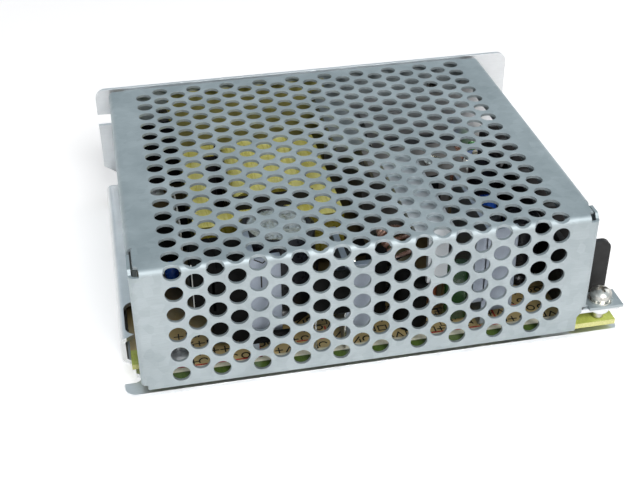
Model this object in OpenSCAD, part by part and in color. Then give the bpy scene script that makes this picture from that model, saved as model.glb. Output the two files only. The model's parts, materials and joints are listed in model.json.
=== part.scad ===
// Enclosed switching power supply with a perforated cover, in millimetres.
// Frame: origin at the middle of the underside, +X towards the terminals, +Y towards
// the solid long wall, +Z up. The chassis is the base, the far long wall and the left end
// ledge, folded from one sheet. The cover is the top, the near long wall and the left wall,
// folded from one perforated sheet. Everything inside stands on the circuit board.

/* [Case] */
// Overall length along X
case_l = 129; // [125:0.5:135]
// Overall width along Y
case_w = 98; // [96:0.5:104]
// Overall height
case_h = 38; // [37.5:0.5:44]
// Thickness of the aluminium chassis sheet
chassis_t = 1.2; // [1:0.1:1.4]
// Thickness of the steel cover sheet
cover_t = 0.8; // [0.6:0.1:1]
// Outer radius of the folds
fold_r = 1.6; // [1.5:0.1:2]
// Clearance between neighbouring pieces
fit_gap = 0.3; // [0.2:0.05:0.4]

/* [Cover] */
// Distance from the left end of the chassis to the cover
cover_inset = 4; // [3.5:0.1:4.5]
// Height of the near wall's lower edge above the base's underside
cover_lift = 2.9; // [2.5:0.1:3.2]
// Depth of the flange over the terminals
end_flange_h = 12; // [8:0.5:13]
// Depth of the flange behind the far wall
far_flange_h = 11; // [9:0.5:14]
// Length of the folded corner tab at the left end
left_tab_l = 10; // [8:0.5:12]
// Length of the folded corner tab at the terminal end
right_tab_l = 7.4; // [6.5:0.1:8]
// Width of the slits that separate the corner tabs from the top
slit_w = 0.5; // [0.3:0.1:0.7]
// Diameter of the relief holes at the corners of the folds
relief_d = 1.8; // [1.4:0.1:2.2]

/* [Perforation] */
// Diameter of the vent holes
hole_d = 4.4; // [3.5:0.1:4.8]
// Number of columns
hole_columns = 20; // [16:1:20]
// Number of holes in a column of the top
top_rows = 15; // [10:1:15]
// Number of holes in an even column of the near wall
wall_rows = 6; // [4:1:6]
// Distance from the cover's ends to the first and the last column
hole_inset = 10; // [9.8:0.1:10.5]
// Distance from the near wall to the first row of the top
top_row_inset = 4.96; // [4.6:0.02:5.2]
// Distance from the far wall to the last row of the top
top_row_end = 9.04; // [8.8:0.02:9.6]
// Distance from the top to the first row of the near wall
wall_row_inset = 1.35; // [1.3:0.05:1.6]
// Distance from the underside to the last row of the near wall
wall_row_end = 6.65; // [6.4:0.05:6.9]

/* [Chassis] */
// Height of the ledge at the left end
ledge_h = 8; // [7.6:0.1:8.2]
// Width of the ledge at the left end
ledge_w = 6; // [5:0.5:6]
// Distance of the ledge's near end from the near edge of the base
ledge_inset = 15; // [12:0.5:20]
// Length of the notch in the ledge
ledge_notch_l = 14; // [11:0.5:15]
// Depth of the relief beside the ledge's near end
edge_relief = 3; // [2:0.5:3.2]
// Width of the open mounting slots
slot_w = 3.6; // [3.4:0.1:4]
// Length of the open mounting slots
slot_l = 4.2; // [3.8:0.1:4.4]
// Height of the middle of the far wall's slot
wall_slot_z = 28.2; // [24:0.1:29]
// Distance of the base slot's middle from the near edge
base_slot_y = 7.2; // [6:0.1:8]
// Radius of the rounded sheet corners
corner_r = 3; // [2:0.5:3.5]
// Spacing along X of the tapped holes in the base
base_hole_x = 100; // [90:1:104]
// Spacing along Y of the tapped holes in the base
base_hole_y = 66; // [60:1:70]
// Spacing along X of the tapped holes in the far wall
wall_hole_x = 77; // [70:1:84]
// Height of the tapped holes in the far wall
wall_hole_z = 14; // [12:0.5:16]
// Tapping diameter of the mounting holes
tap_d = 2.5; // [2.4:0.1:2.6]

/* [Ear] */
// Length of the fixing ear beyond the cover
ear_l = 10; // [9:0.1:10]
// Width of the fixing ear
ear_w = 6.8; // [6.4:0.1:7.2]
// Height of the top of the ear
ear_z = 9.5; // [9.4:0.1:9.8]
// Diameter of the clearance hole in the cover's ear
ear_hole_d = 4.2; // [4:0.1:4.4]
// Diameter of the ear screw's thread
ear_screw_d = 3; // [2.5:0.1:3]
// Diameter of the ear screw's head
ear_head_d = 5.6; // [5:0.1:5.8]

/* [Board] */
// Thickness of the circuit board
pcb_t = 1.5; // [1.2:0.1:1.6]
// Height of the board's top face above the base's underside
pcb_top = 4; // [3.9:0.1:4.3]
// Distance of the board from the left end of the chassis
pcb_inset_l = 2.2; // [2:0.1:3]
// Distance of the board from the terminal end of the chassis
pcb_inset_r = 1; // [0.8:0.1:1.5]
// Thickness of the insulating film on the base
film_t = 0.25; // [0.2:0.05:0.3]
// Thickness of the insulating sheet on the far wall
wall_sheet_t = 0.4; // [0.3:0.1:0.6]

/* [Terminals] */
// Spacing of the terminals
terminal_pitch = 9.5; // [9.3:0.1:9.6]
// Height of the terminal block's top above the base's underside
block_top = 23.2; // [22:0.2:24]
// Depth of the terminal block along X
block_d = 13.2; // [12.6:0.1:13.6]
// Thickness of the barriers between the terminals
barrier_t = 1.5; // [1.2:0.1:1.6]
// Height of the terminal block's floor above the board
block_floor = 7; // [6:0.2:8]
// Diameter of the terminal screw heads
terminal_head_d = 6.4; // [6:0.1:6.6]
// Diameter of the terminal screws' thread
terminal_screw_d = 3.5; // [3:0.1:3.5]

/* [Power parts] */
// Length of the transformer's core along X
core_x = 40; // [36:1:41]
// Length of the transformer's core along Y
core_y = 44; // [40:1:45]
// Thickness of the transformer's core
core_t = 14; // [12:1:15]
// Diameter of the bulk capacitor
bulk_d = 20; // [16:1:20]
// Height of the bulk capacitor
bulk_h = 26; // [20:1:28]
// Thickness of the aluminium heatsinks
sink_t = 1.6; // [1.2:0.1:2]
// Diameter of the output capacitors
output_d = 10; // [8:0.5:10]
// Height of the output capacitors
output_h = 20; // [16:1:24]
// Outer diameter of the output choke
choke_d = 20; // [18:1:20]
// Diameter of the blue disc capacitor
disc_d = 14; // [10:1:14]

/* [Hidden] */
$fn = 48;
nothing = 0.01;
// How far a cut runs past the face it starts from
over = 1;
// Sheet and case planes
left = -case_l / 2;
right = case_l / 2;
near = -case_w / 2;
far = case_w / 2;
cover_x0 = left + cover_inset;
cover_x1 = right - ear_l;
hole_pitch_x = (cover_x1 - cover_x0 - 2 * hole_inset) / (hole_columns - 1);
top_pitch = (case_w - top_row_inset - top_row_end) / (top_rows - 1);
wall_pitch = (case_h - wall_row_inset - wall_row_end) / (wall_rows - 1);
cover_y1 = far - chassis_t - fit_gap;
base_y0 = near + cover_t;
pcb_x0 = left + pcb_inset_l;
pcb_x1 = right - pcb_inset_r;
pcb_y0 = near + cover_t + fit_gap;
pcb_y1 = far - chassis_t - fit_gap;
pcb_bottom = pcb_top - pcb_t;
// The parts on the board are laid out for a case of this length, width and room above the
// board. In another case each group keeps its share of the length and width, and its size
// follows the tightest direction.
layout = [129, 98, 33.2];
stretch_x = case_l / layout[0];
stretch_y = case_w / layout[1];
stretch_z = (case_h - cover_t - pcb_top) / layout[2];
part_scale = min(stretch_x, stretch_y, stretch_z);
plan_left = -layout[0] / 2;
plan_near = -layout[1] / 2;
plan_far = layout[1] / 2;
// Terminal block
block_setback = 0.8;
block_inset = 9.8;
block_depth = block_d * stretch_x;
block_x1 = right - block_setback;
block_x0 = block_x1 - block_depth;
block_y0 = near + block_inset;
terminals = 7;
terminal_step = terminal_pitch * stretch_y;
block_y1 = block_y0 + terminals * terminal_step + barrier_t;
floor_z = pcb_top + block_floor;
plate_t = 0.8;
washer_gap = 0.05;
screw_x = block_x0 + block_depth / 2 + 0.6;
// Places of the parts on the board
plan_block_x = layout[0] / 2 - block_setback - block_d;
core_x0 = plan_left + 22.5;
core_y0 = plan_near + 37;
core_z = pcb_top + 6;
bulk_x = core_x0 + 20;
bulk_y = core_y0 - 1 - bulk_d / 2;
sink_y = plan_near + 5.6;
sink_1_x = plan_left + 32.5;
sink_2_x = plan_left + 55.9;
sink_3_x = plan_left + 92;
sink_top = pcb_top + 30;
sink_3_l = 28;
transformer_at = [core_x0 + core_x / 2, core_y0 + core_y / 2];
sink_1_at = [sink_1_x, sink_y];
sink_2_at = [sink_2_x, sink_y];
sink_3_at = [sink_3_x, sink_y];

// Puts parts that are drawn in the layout on the board. The point at keeps its share of the case
module on_board(at) {
    translate([at[0] * stretch_x, at[1] * stretch_y, pcb_top]) scale(part_scale)
        translate([-at[0], -at[1], -pcb_top]) children();
}

// ---------- Folded sheet ----------

// Section of a fold: a quarter ring in the first quadrant
module fold_2d(t) {
    intersection() {
        difference() {
            circle(fold_r);
            circle(fold_r - t);
        }
        square(2 * fold_r);
    }
}

// Fold that runs along X, with its centre line at y, z
module fold_x(x0, x1, y, z, turn, t) {
    translate([x0, y, z]) rotate([90, 0, 90]) linear_extrude(x1 - x0) rotate(turn) fold_2d(t);
}

// Fold that runs along Y, with its centre line at x, z
module fold_y(y0, y1, x, z, turn, t) {
    translate([x, y1, z]) rotate([90, 0, 0]) linear_extrude(y1 - y0) rotate(turn) fold_2d(t);
}

// Fold that runs along Z, with its centre line at x, y
module fold_z(z0, z1, x, y, turn, t) {
    translate([x, y, z0]) linear_extrude(z1 - z0) rotate(turn) fold_2d(t);
}

// Flat sheet between two corners
module block(p, q) {
    translate(p) cube(q - p);
}

// Upright sheet drawn in X and Z, with its lower y face at y
module sheet_xz(y, t) {
    translate([0, y + t, 0]) rotate([90, 0, 0]) linear_extrude(t) children();
}

// Upright sheet drawn in Y and Z, with its lower x face at x
module sheet_yz(x, t) {
    translate([x, 0, 0]) rotate([90, 0, 90]) linear_extrude(t) children();
}

// ---------- Cover ----------

top_x0 = cover_x0 + fold_r;
top_x1 = cover_x1 - fold_r;
top_y0 = near + fold_r;
top_y1 = cover_y1 - fold_r;
top_z = case_h - fold_r;
tab_top = case_h - cover_t / 2;
tab_bottom = pcb_top + fit_gap;
step_w = 1.1;
step_z = ear_z - 2.2;
cover_screw_x = [left + 19.5, right - 24.5];
cover_screw_z = case_h - 8;
thread_gap = 0.1;
cover_screw_d = 3;

function column_x(c) = cover_x0 + hole_inset + c * hole_pitch_x;
function top_hole_y(c, k) = near + top_row_inset + (k + c % 2 / 2) * top_pitch;
function wall_hole_z(c, k) = case_h - wall_row_inset - (k + c % 2 / 2) * wall_pitch;

// A vent hole that runs over the near fold goes on around it, and is cut there by a round
// tool: past is how far the hole's middle lies beyond the start of the fold, and end, side
// and mid give the round tool's reach, half width and middle from the sheet's outer face.
function fold_end(past) = fold_r * (1 - cos(min(90, (past + hole_d / 2) / fold_r * 180 / PI)));
function fold_side(past) = sqrt(pow(hole_d / 2, 2) - past * past);
function fold_mid(past) = (pow(fold_end(past), 2) - pow(fold_side(past), 2)) / (2 * fold_end(past));
wall_past = wall_hole_z(0, 0) - top_z;
top_past = top_y0 - top_hole_y(1, -1);

// Vent holes of the top, with the ends of the wall's first holes
module top_holes_2d() {
    intersection() {
        for (c = [0 : hole_columns - 1])
            for (k = [-(c % 2) : top_rows - 1])
                translate([column_x(c), top_hole_y(c, k)]) circle(d = hole_d);
        translate([left, top_y0 - nothing]) square([case_l, case_w]);
    }
    for (c = [0 : 2 : hole_columns - 1])
        translate([column_x(c), near + fold_mid(wall_past)])
            circle(fold_end(wall_past) - fold_mid(wall_past));
}

// Vent holes of the near wall, with the ends of the top's first holes
module wall_holes_2d() {
    intersection() {
        for (c = [0 : hole_columns - 1])
            for (k = [0 : wall_rows - 1 - c % 2])
                translate([column_x(c), wall_hole_z(c, k)]) circle(d = hole_d);
        translate([left, 0]) square([case_l, top_z + nothing]);
    }
    for (c = [1 : 2 : hole_columns - 1])
        translate([column_x(c), case_h - fold_mid(top_past)])
            circle(fold_end(top_past) - fold_mid(top_past));
}

module cover_top() {
    edge = cover_t + slit_w;
    translate([0, 0, case_h - cover_t]) linear_extrude(cover_t) difference() {
        union() {
            translate([top_x0, top_y0]) square([top_x1 - top_x0, top_y1 - top_y0]);
            translate([cover_x0 + edge, top_y0])
                square([fold_r, left_tab_l - fold_r]);
            translate([cover_x1 - edge - fold_r, top_y0])
                square([fold_r, right_tab_l - fold_r]);
        }
        translate([top_x0, top_y0]) circle(d = relief_d);
        translate([top_x1, top_y0]) circle(d = relief_d);
    }
}

module cover_near_wall() {
    fold_x(top_x0 + relief_d / 2, top_x1 - relief_d / 2, top_y0, top_z, 90, cover_t);
    sheet_xz(near, cover_t)
        polygon([[top_x0, cover_lift], [top_x1 - step_w, cover_lift],
                 [top_x1 - step_w, step_z], [top_x1, ear_z - cover_t],
                 [top_x1, top_z], [top_x0, top_z]]);
}

module cover_left_wall() {
    y0 = near + left_tab_l + slit_w;
    fold_y(y0, top_y1, top_x0, top_z, 90, cover_t);
    block([cover_x0, y0, ledge_h], [cover_x0 + cover_t, top_y1, top_z]);
}

module cover_left_tab() {
    fold_z(tab_bottom, top_z, top_x0, top_y0, 180, cover_t);
    sheet_yz(cover_x0, cover_t)
        polygon([[top_y0, tab_bottom], [near + left_tab_l, tab_bottom],
                 [near + left_tab_l, tab_top - fold_r], [near + left_tab_l - fold_r, tab_top],
                 [top_y0 + fold_r / 2, tab_top], [top_y0, top_z]]);
}

module cover_end_flange() {
    y0 = near + right_tab_l + slit_w;
    fold_y(y0, top_y1, top_x1, top_z, 0, cover_t);
    sheet_yz(cover_x1 - cover_t, cover_t)
        polygon([[y0, top_z], [y0 + fold_r, case_h - end_flange_h],
                 [top_y1, case_h - end_flange_h], [top_y1, top_z]]);
}

// Corner tab at the terminal end, which turns out into the fixing ear
module cover_right_tab() {
    turn_z = ear_z - cover_t + fold_r;
    turn_x = cover_x1 - cover_t + fold_r;
    hole_x = cover_x1 + ear_l / 2;
    hole_y = near + ear_w / 2;
    fold_z(turn_z, top_z, top_x1, top_y0, 270, cover_t);
    sheet_yz(cover_x1 - cover_t, cover_t)
        polygon([[top_y0, turn_z], [near + ear_w, turn_z], [near + right_tab_l, turn_z + fold_r],
                 [near + right_tab_l, tab_top - fold_r], [near + right_tab_l - fold_r, tab_top],
                 [top_y0 + fold_r / 2, tab_top], [top_y0, top_z]]);
    fold_y(top_y0, near + ear_w, turn_x, turn_z, 180, cover_t);
    difference() {
        block([turn_x, near, ear_z - cover_t], [cover_x1 + ear_l, near + ear_w, ear_z]);
        translate([hole_x, hole_y, 0]) cylinder(d = ear_hole_d, h = case_h);
        translate([hole_x + ear_hole_d / 4, hole_y, 0]) cylinder(d = ear_hole_d, h = case_h);
    }
}

module cover_far_flange() {
    inset = 2 * fold_r;
    fold_x(top_x0 + inset, top_x1 - inset, top_y1, top_z, 0, cover_t);
    sheet_xz(cover_y1 - cover_t, cover_t) difference() {
        polygon([[top_x0 + inset, top_z], [top_x0 + inset, case_h - far_flange_h + inset],
                 [top_x0 + 2 * inset, case_h - far_flange_h],
                 [top_x1 - 2 * inset, case_h - far_flange_h],
                 [top_x1 - inset, case_h - far_flange_h + inset], [top_x1 - inset, top_z]]);
        for (x = cover_screw_x)
            translate([x, cover_screw_z]) circle(d = cover_screw_d + thread_gap);
    }
}

module cover() {
    color([0.62, 0.68, 0.71]) difference() {
        union() {
            cover_top();
            cover_near_wall();
            cover_left_wall();
            cover_left_tab();
            cover_end_flange();
            cover_right_tab();
            cover_far_flange();
        }
        translate([0, 0, top_z]) linear_extrude(2 * fold_r) top_holes_2d();
        sheet_xz(near - fold_r, 2 * fold_r) wall_holes_2d();
    }
}

// ---------- Chassis ----------

ledge_y0 = near + ledge_inset;
ledge_y1 = far - 6;
shelf_z = ear_z - cover_t;
base_corner_r = 1.6;
// Bracket under the ear
bracket_x = cover_x1 - 4;
bracket_t = 1.1;
bracket_foot = 7;
bracket_y0 = base_y0 + 1.4;
bracket_r = fold_r - 0.2;
ear_x = cover_x1 + ear_l / 2;
ear_y = near + ear_w / 2;
head_cone = 2.6;
boss_d = 6.6;
board_screw_d = 3;
board_screws_at = [[left + 14.2, near + 9.4], [left + 14.2, far - 8.5],
                   [right - 17.5, far - 7.5]];
base_holes_at = [for (i = [-1, 1]) for (j = [-1, 1]) [i * base_hole_x / 2, j * base_hole_y / 2]];

module chassis_base_2d() {
    difference() {
        union() {
            translate([left + fold_r, base_y0])
                square([case_l - fold_r, far - fold_r - base_y0]);
            translate([left, base_y0 + corner_r])
                square([fold_r, base_slot_y - cover_t - corner_r]);
            translate([left + corner_r, base_y0 + corner_r]) circle(corner_r);
        }
        translate([left - corner_r, base_y0 - corner_r]) difference() {
            square(2 * corner_r);
            translate([2 * corner_r, 2 * corner_r]) circle(corner_r);
        }
        translate([left - slot_w, near + base_slot_y - slot_w / 2])
            square([slot_l - slot_w / 2 + slot_w, slot_w]);
        translate([left + slot_l - slot_w / 2, near + base_slot_y]) circle(d = slot_w);
        translate([left - slot_w, near + base_slot_y])
            square([edge_relief + slot_w, ledge_y0 - slit_w - near - base_slot_y]);
        translate([right - base_corner_r, base_y0]) difference() {
            translate([0, -base_corner_r]) square(2 * base_corner_r);
            translate([0, base_corner_r]) circle(base_corner_r);
        }
        for (p = base_holes_at) translate(p) circle(d = tap_d);
        for (p = board_screws_at) translate(p) circle(d = board_screw_d);
    }
}

module chassis_far_wall() {
    wall_slot_l = slot_l + 1;
    slot_end = left + wall_slot_l - slot_w / 2;
    sheet_xz(far - chassis_t, chassis_t) difference() {
        union() {
            translate([left, fold_r]) square([case_l, case_h - corner_r - fold_r]);
            translate([left + corner_r, fold_r])
                square([case_l - 2 * corner_r, case_h - fold_r]);
            for (x = [left + corner_r, right - corner_r])
                translate([x, case_h - corner_r]) circle(corner_r);
        }
        translate([left - slot_w, wall_slot_z - slot_w / 2])
            square([slot_end - left + slot_w, slot_w]);
        translate([slot_end, wall_slot_z]) circle(d = slot_w);
        polygon([[left - fold_r, 0], [left + fold_r, 0], [left + ledge_w, ledge_h],
                 [left, ledge_h + slot_l], [left - fold_r, ledge_h + slot_l]]);
        for (i = [-1, 1]) translate([i * wall_hole_x / 2, wall_hole_z]) circle(d = tap_d);
        for (x = cover_screw_x) translate([x, cover_screw_z]) circle(d = cover_screw_d + fit_gap);
    }
}

// Left end: a low riser that folds in over the board's edge
module chassis_ledge() {
    notch_x = left + chassis_t + fit_gap;
    notch_y = near + 23.2;
    notch_r = 3;
    fold_y(ledge_y0, ledge_y1, left + fold_r, fold_r, 180, chassis_t);
    block([left, ledge_y0, fold_r], [left + chassis_t, ledge_y1, ledge_h - fold_r]);
    difference() {
        union() {
            fold_y(ledge_y0, ledge_y1, left + fold_r, ledge_h - fold_r, 90, chassis_t);
            translate([0, 0, ledge_h - chassis_t]) linear_extrude(chassis_t)
                polygon([[left + fold_r, ledge_y0], [left + ledge_w, ledge_y0 + ledge_w / 2],
                         [left + ledge_w, ledge_y1], [left + fold_r, ledge_y1]]);
        }
        translate([notch_x, notch_y, ledge_h - fold_r]) linear_extrude(2 * fold_r) union() {
            for (i = [-1, 1])
                translate([notch_r, i * (ledge_notch_l / 2 - notch_r)]) circle(notch_r);
            translate([0, notch_r - ledge_notch_l / 2])
                square([ledge_w, ledge_notch_l - 2 * notch_r]);
            translate([notch_r, -ledge_notch_l / 2]) square([ledge_w, ledge_notch_l]);
        }
    }
}

// Bracket welded to the base: a foot, a riser and a tapped plate under the cover's ear
module ear_bracket() {
    x = bracket_x + bracket_r;
    y1 = near + ear_w;
    collar = 1.1;
    plate_x1 = cover_x1 + ear_l - slit_w;
    color([0.8, 0.8, 0.78]) difference() {
        union() {
            block([bracket_x - bracket_foot, bracket_y0, chassis_t],
                  [bracket_x - bracket_r + bracket_t, y1, chassis_t + bracket_t]);
            bracket_fold(bracket_x - bracket_r + bracket_t, chassis_t + bracket_r, 270, y1);
            block([bracket_x, bracket_y0, chassis_t + bracket_r],
                  [bracket_x + bracket_t, y1, shelf_z - bracket_r]);
            bracket_fold(x, shelf_z - bracket_r, 90, y1);
            block([x, base_y0, shelf_z - bracket_t], [plate_x1, y1, shelf_z]);
            translate([ear_x, ear_y, shelf_z - bracket_t - collar])
                cylinder(d = ear_screw_d + 2 * bracket_t, h = collar + nothing);
        }
        translate([ear_x, ear_y, 0]) cylinder(d = ear_screw_d + thread_gap, h = case_h);
    }
}

// Quarter bend of the bracket along Y, with its centre line at x, z
module bracket_fold(x, z, turn, y1) {
    translate([x, y1, z]) rotate([90, 0, 0]) linear_extrude(y1 - bracket_y0) rotate(turn)
        intersection() {
            difference() {
                circle(bracket_r);
                circle(bracket_r - bracket_t);
            }
            square(2 * bracket_r);
        }
}

module chassis() {
    color([0.8, 0.81, 0.82]) difference() {
        union() {
            linear_extrude(chassis_t) chassis_base_2d();
            fold_x(left + fold_r, right, far - fold_r, fold_r, 270, chassis_t);
            chassis_far_wall();
            chassis_ledge();
            for (p = board_screws_at) translate([p[0], p[1], chassis_t]) difference() {
                cylinder(d = boss_d, h = pcb_bottom - chassis_t);
                translate([0, 0, -nothing]) cylinder(d = board_screw_d, h = pcb_bottom);
            }
        }
        for (x = cover_screw_x) translate([x, far + nothing, cover_screw_z])
            rotate([90, 0, 0])
                cylinder(d1 = 2 * head_cone + fit_gap, d2 = cover_screw_d, h = chassis_t);
    }
}

// ---------- Board and films ----------

// Corner of the board that is cut away beside the base's open slot
pcb_notch_x = cover_x0 + 2.4;
pcb_notch_y = near + base_slot_y + slot_w / 2;

module pcb() {
    color([0.45, 0.55, 0.2]) translate([0, 0, pcb_bottom]) linear_extrude(pcb_t) difference() {
        translate([pcb_x0, pcb_y0]) square([pcb_x1 - pcb_x0, pcb_y1 - pcb_y0]);
        translate([bracket_x - fit_gap, pcb_y0 - over])
            square([bracket_t + 2 * fit_gap, near + ear_w + fit_gap - pcb_y0 + over]);
        translate([pcb_x0 - over, pcb_y0 - over])
            square([pcb_notch_x - pcb_x0 + over, pcb_notch_y - pcb_y0 + over]);
        for (p = board_screws_at) translate(p) circle(d = board_screw_d + fit_gap);
    }
}

module base_film() {
    inset = 2.5;
    room = 1;
    color([0.85, 0.86, 0.8]) translate([0, 0, chassis_t]) linear_extrude(film_t) difference() {
        translate([pcb_x0 + inset, pcb_y0 + inset])
            square([pcb_x1 - pcb_x0 - 2 * inset, pcb_y1 - pcb_y0 - 2 * inset]);
        translate([bracket_x - bracket_foot - room, pcb_y0])
            square([bracket_foot + inset + room, near + ear_w + room - pcb_y0]);
        for (p = board_screws_at) translate(p) circle(d = boss_d + room);
    }
}

// Insulating sheet that lines the far flange beside the transformer
module wall_insulator() {
    reach = 7;
    color([0.66, 0.62, 0.25])
        block([cover_screw_x[0] + cover_screw_d / 2, cover_y1 - cover_t - wall_sheet_t, pcb_top],
              [(core_x0 + core_x + reach) * stretch_x, cover_y1 - cover_t,
               case_h - cover_t - fold_r]);
}

module barrier_sheet() {
    x = core_x0 - 4.6;
    y0 = core_y0 - 11;
    y1 = core_y0 + 8;
    h = 29;
    color([0.85, 0.85, 0.8]) on_board([x, plan_near])
        block([x, y0, pcb_top], [x + wall_sheet_t, y1, pcb_top + h]);
}

// ---------- Terminals ----------

function terminal_y(i) = block_y0 + barrier_t / 2 + (i - 0.5) * terminal_step;

// Barrier outline in X and Z with a rounded outer corner
module barrier_2d() {
    r = 2.4;
    translate([block_x0, pcb_top]) {
        square([block_depth, block_top - pcb_top - r]);
        square([block_depth - r, block_top - pcb_top]);
        translate([block_depth - r, block_top - pcb_top - r]) circle(r);
    }
}

module terminal_housing() {
    well_d = terminal_screw_d + 2 * fit_gap;
    well_floor = 1;
    leg_w = 3;
    leg_x0 = block_x0 + barrier_t + 0.2;
    leg_x1 = block_x0 + barrier_t + 1.6;
    color([0.12, 0.12, 0.13]) difference() {
        union() {
            for (i = [0 : terminals])
                sheet_xz(block_y0 + i * terminal_step, barrier_t) barrier_2d();
            block([block_x0, block_y0, pcb_top],
                  [block_x1 - barrier_t, block_y1, floor_z]);
            block([block_x0, block_y0, floor_z],
                  [block_x0 + barrier_t, block_y1, block_top]);
        }
        for (i = [1 : terminals]) {
            translate([screw_x, terminal_y(i), pcb_top + well_floor])
                cylinder(d = well_d, h = block_top);
            block([leg_x0, terminal_y(i) - leg_w / 2, pcb_top - over],
                  [leg_x1, terminal_y(i) + leg_w / 2, floor_z + nothing]);
        }
    }
}

// Contact plates, each with a leg that goes down to the board
module terminal_contacts() {
    room = 0.5;
    half_w = (terminal_step - barrier_t) / 2 - room;
    leg_w = 2.4;
    x0 = block_x0 + barrier_t + room;
    color([0.8, 0.76, 0.62]) for (i = [1 : terminals]) difference() {
        union() {
            block([x0, terminal_y(i) - half_w, floor_z],
                  [block_x1 - barrier_t / 2, terminal_y(i) + half_w, floor_z + plate_t]);
            block([x0, terminal_y(i) - leg_w / 2, pcb_top],
                  [x0 + plate_t, terminal_y(i) + leg_w / 2, floor_z + nothing]);
        }
        translate([screw_x, terminal_y(i), 0]) cylinder(d = terminal_screw_d + thread_gap, h = case_h);
    }
}

// Pan head with a cross recess, standing on z = 0
module pan_head(d, h) {
    arm = d * 0.55;
    slot = d * 0.16;
    dome_r = d * 0.62;
    rim_h = h * 0.45;
    recess_z = h * 0.4;
    difference() {
        rotate_extrude() intersection() {
            translate([0, -d]) square([d / 2, d + h]);
            union() {
                square([d / 2, rim_h]);
                translate([0, h - dome_r]) circle(dome_r);
            }
            square([d, h]);
        }
        for (a = [0, 90]) rotate(a)
            translate([-arm / 2, -slot / 2, recess_z]) cube([arm, slot, h]);
    }
}

// Terminal screw with its captive square washer
module terminal_screw(i) {
    washer_room = 0.8;
    washer_w = terminal_step - barrier_t - washer_room;
    washer_z = floor_z + plate_t;
    head_h = 2.4;
    shank = 6;
    color([0.78, 0.78, 0.74]) translate([screw_x, terminal_y(i), washer_z]) {
        difference() {
            translate([-washer_w / 2, -washer_w / 2, 0]) cube([washer_w, washer_w, plate_t]);
            translate([0, 0, -over]) cylinder(d = terminal_screw_d, h = plate_t + 2 * over);
        }
        translate([0, 0, plate_t + washer_gap]) pan_head(terminal_head_d, head_h);
        translate([0, 0, -shank]) cylinder(d = terminal_screw_d - thread_gap, h = shank + over);
    }
}

module terminal_screw_1() { terminal_screw(1); }
module terminal_screw_2() { terminal_screw(2); }
module terminal_screw_3() { terminal_screw(3); }
module terminal_screw_4() { terminal_screw(4); }
module terminal_screw_5() { terminal_screw(5); }
module terminal_screw_6() { terminal_screw(6); }
module terminal_screw_7() { terminal_screw(7); }

// ---------- Fasteners ----------

ear_washer_t = 0.5;
spring_washer_t = 0.8;

module ear_flat_washer() {
    color([0.75, 0.74, 0.7]) translate([ear_x, ear_y, ear_z]) difference() {
        cylinder(d = ear_head_d + 0.8, h = ear_washer_t);
        translate([0, 0, -1]) cylinder(d = ear_screw_d + thread_gap, h = 3);
    }
}

module ear_spring_washer() {
    color([0.75, 0.74, 0.7]) translate([ear_x, ear_y, ear_z + ear_washer_t]) difference() {
        cylinder(d = ear_head_d - 0.4, h = spring_washer_t);
        translate([0, 0, -1]) cylinder(d = ear_screw_d + thread_gap, h = 3);
        translate([0, -0.3, -1]) rotate(20) cube([ear_head_d, 0.6, 3]);
    }
}

module ear_screw() {
    z = ear_z + ear_washer_t + spring_washer_t;
    tip = pcb_top + fit_gap;
    color([0.78, 0.76, 0.7]) translate([ear_x, ear_y, z]) {
        pan_head(ear_head_d, 2.4);
        translate([0, 0, tip - z]) cylinder(d = ear_screw_d, h = z - tip + 1);
    }
}

module cover_screws() {
    reach = chassis_t + fit_gap + cover_t + 1.2;
    color([0.78, 0.78, 0.76]) for (x = cover_screw_x)
        translate([x, far, cover_screw_z]) rotate([90, 0, 0]) difference() {
            union() {
                cylinder(d1 = 2 * head_cone, d2 = cover_screw_d - fit_gap, h = chassis_t);
                cylinder(d = cover_screw_d - fit_gap, h = reach);
            }
            for (a = [0, 90]) rotate(a) translate([-1.5, -0.4, -1]) cube([3, 0.8, 1.7]);
        }
}

module board_screws() {
    color([0.78, 0.78, 0.76]) for (p = board_screws_at) translate([p[0], p[1], pcb_top]) {
        pan_head(6, 2.2);
        translate([0, 0, -pcb_top + fit_gap])
            cylinder(d = board_screw_d - thread_gap, h = pcb_top - fit_gap + 1);
    }
}

// ---------- Transformer ----------

core_leg = 6.2;
winding_gap = 4.6;
winding_x0 = core_x0 + core_leg + winding_gap;
winding_x1 = core_x0 + core_x - core_leg - 0.6;
winding_y0 = core_y0 + core_leg;
winding_y1 = core_y0 + core_y - core_leg;
tape_t = 0.3;
flange_t = 1.2;
centre_w = 10;

// Core seen from above: a frame with a centre leg along Y
module core_2d() {
    difference() {
        translate([core_x0, core_y0]) square([core_x, core_y]);
        translate([core_x0 + core_leg, winding_y0])
            square([core_x - 2 * core_leg, winding_y1 - winding_y0]);
    }
    translate([(winding_x0 + winding_x1 - centre_w) / 2, winding_y0 - 1])
        square([centre_w, winding_y1 - winding_y0 + 2]);
}

module transformer_core() {
    color([0.2, 0.2, 0.21]) on_board(transformer_at)
        translate([0, 0, core_z]) linear_extrude(core_t) core_2d();
}

// Yellow tape over the core's top and around its outer sides
module core_tape() {
    z = core_z + core_t;
    color([0.85, 0.78, 0.25]) on_board(transformer_at) difference() {
        block([core_x0 - tape_t, core_y0 - tape_t, core_z],
              [core_x0 + core_x + tape_t, core_y0 + core_y + tape_t, z + tape_t]);
        block([core_x0, core_y0, core_z - 1], [core_x0 + core_x, core_y0 + core_y, z]);
        block([core_x0 + core_leg, winding_y0, core_z - 1],
              [core_x0 + core_x - core_leg, winding_y1, z + 1]);
    }
}

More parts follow.
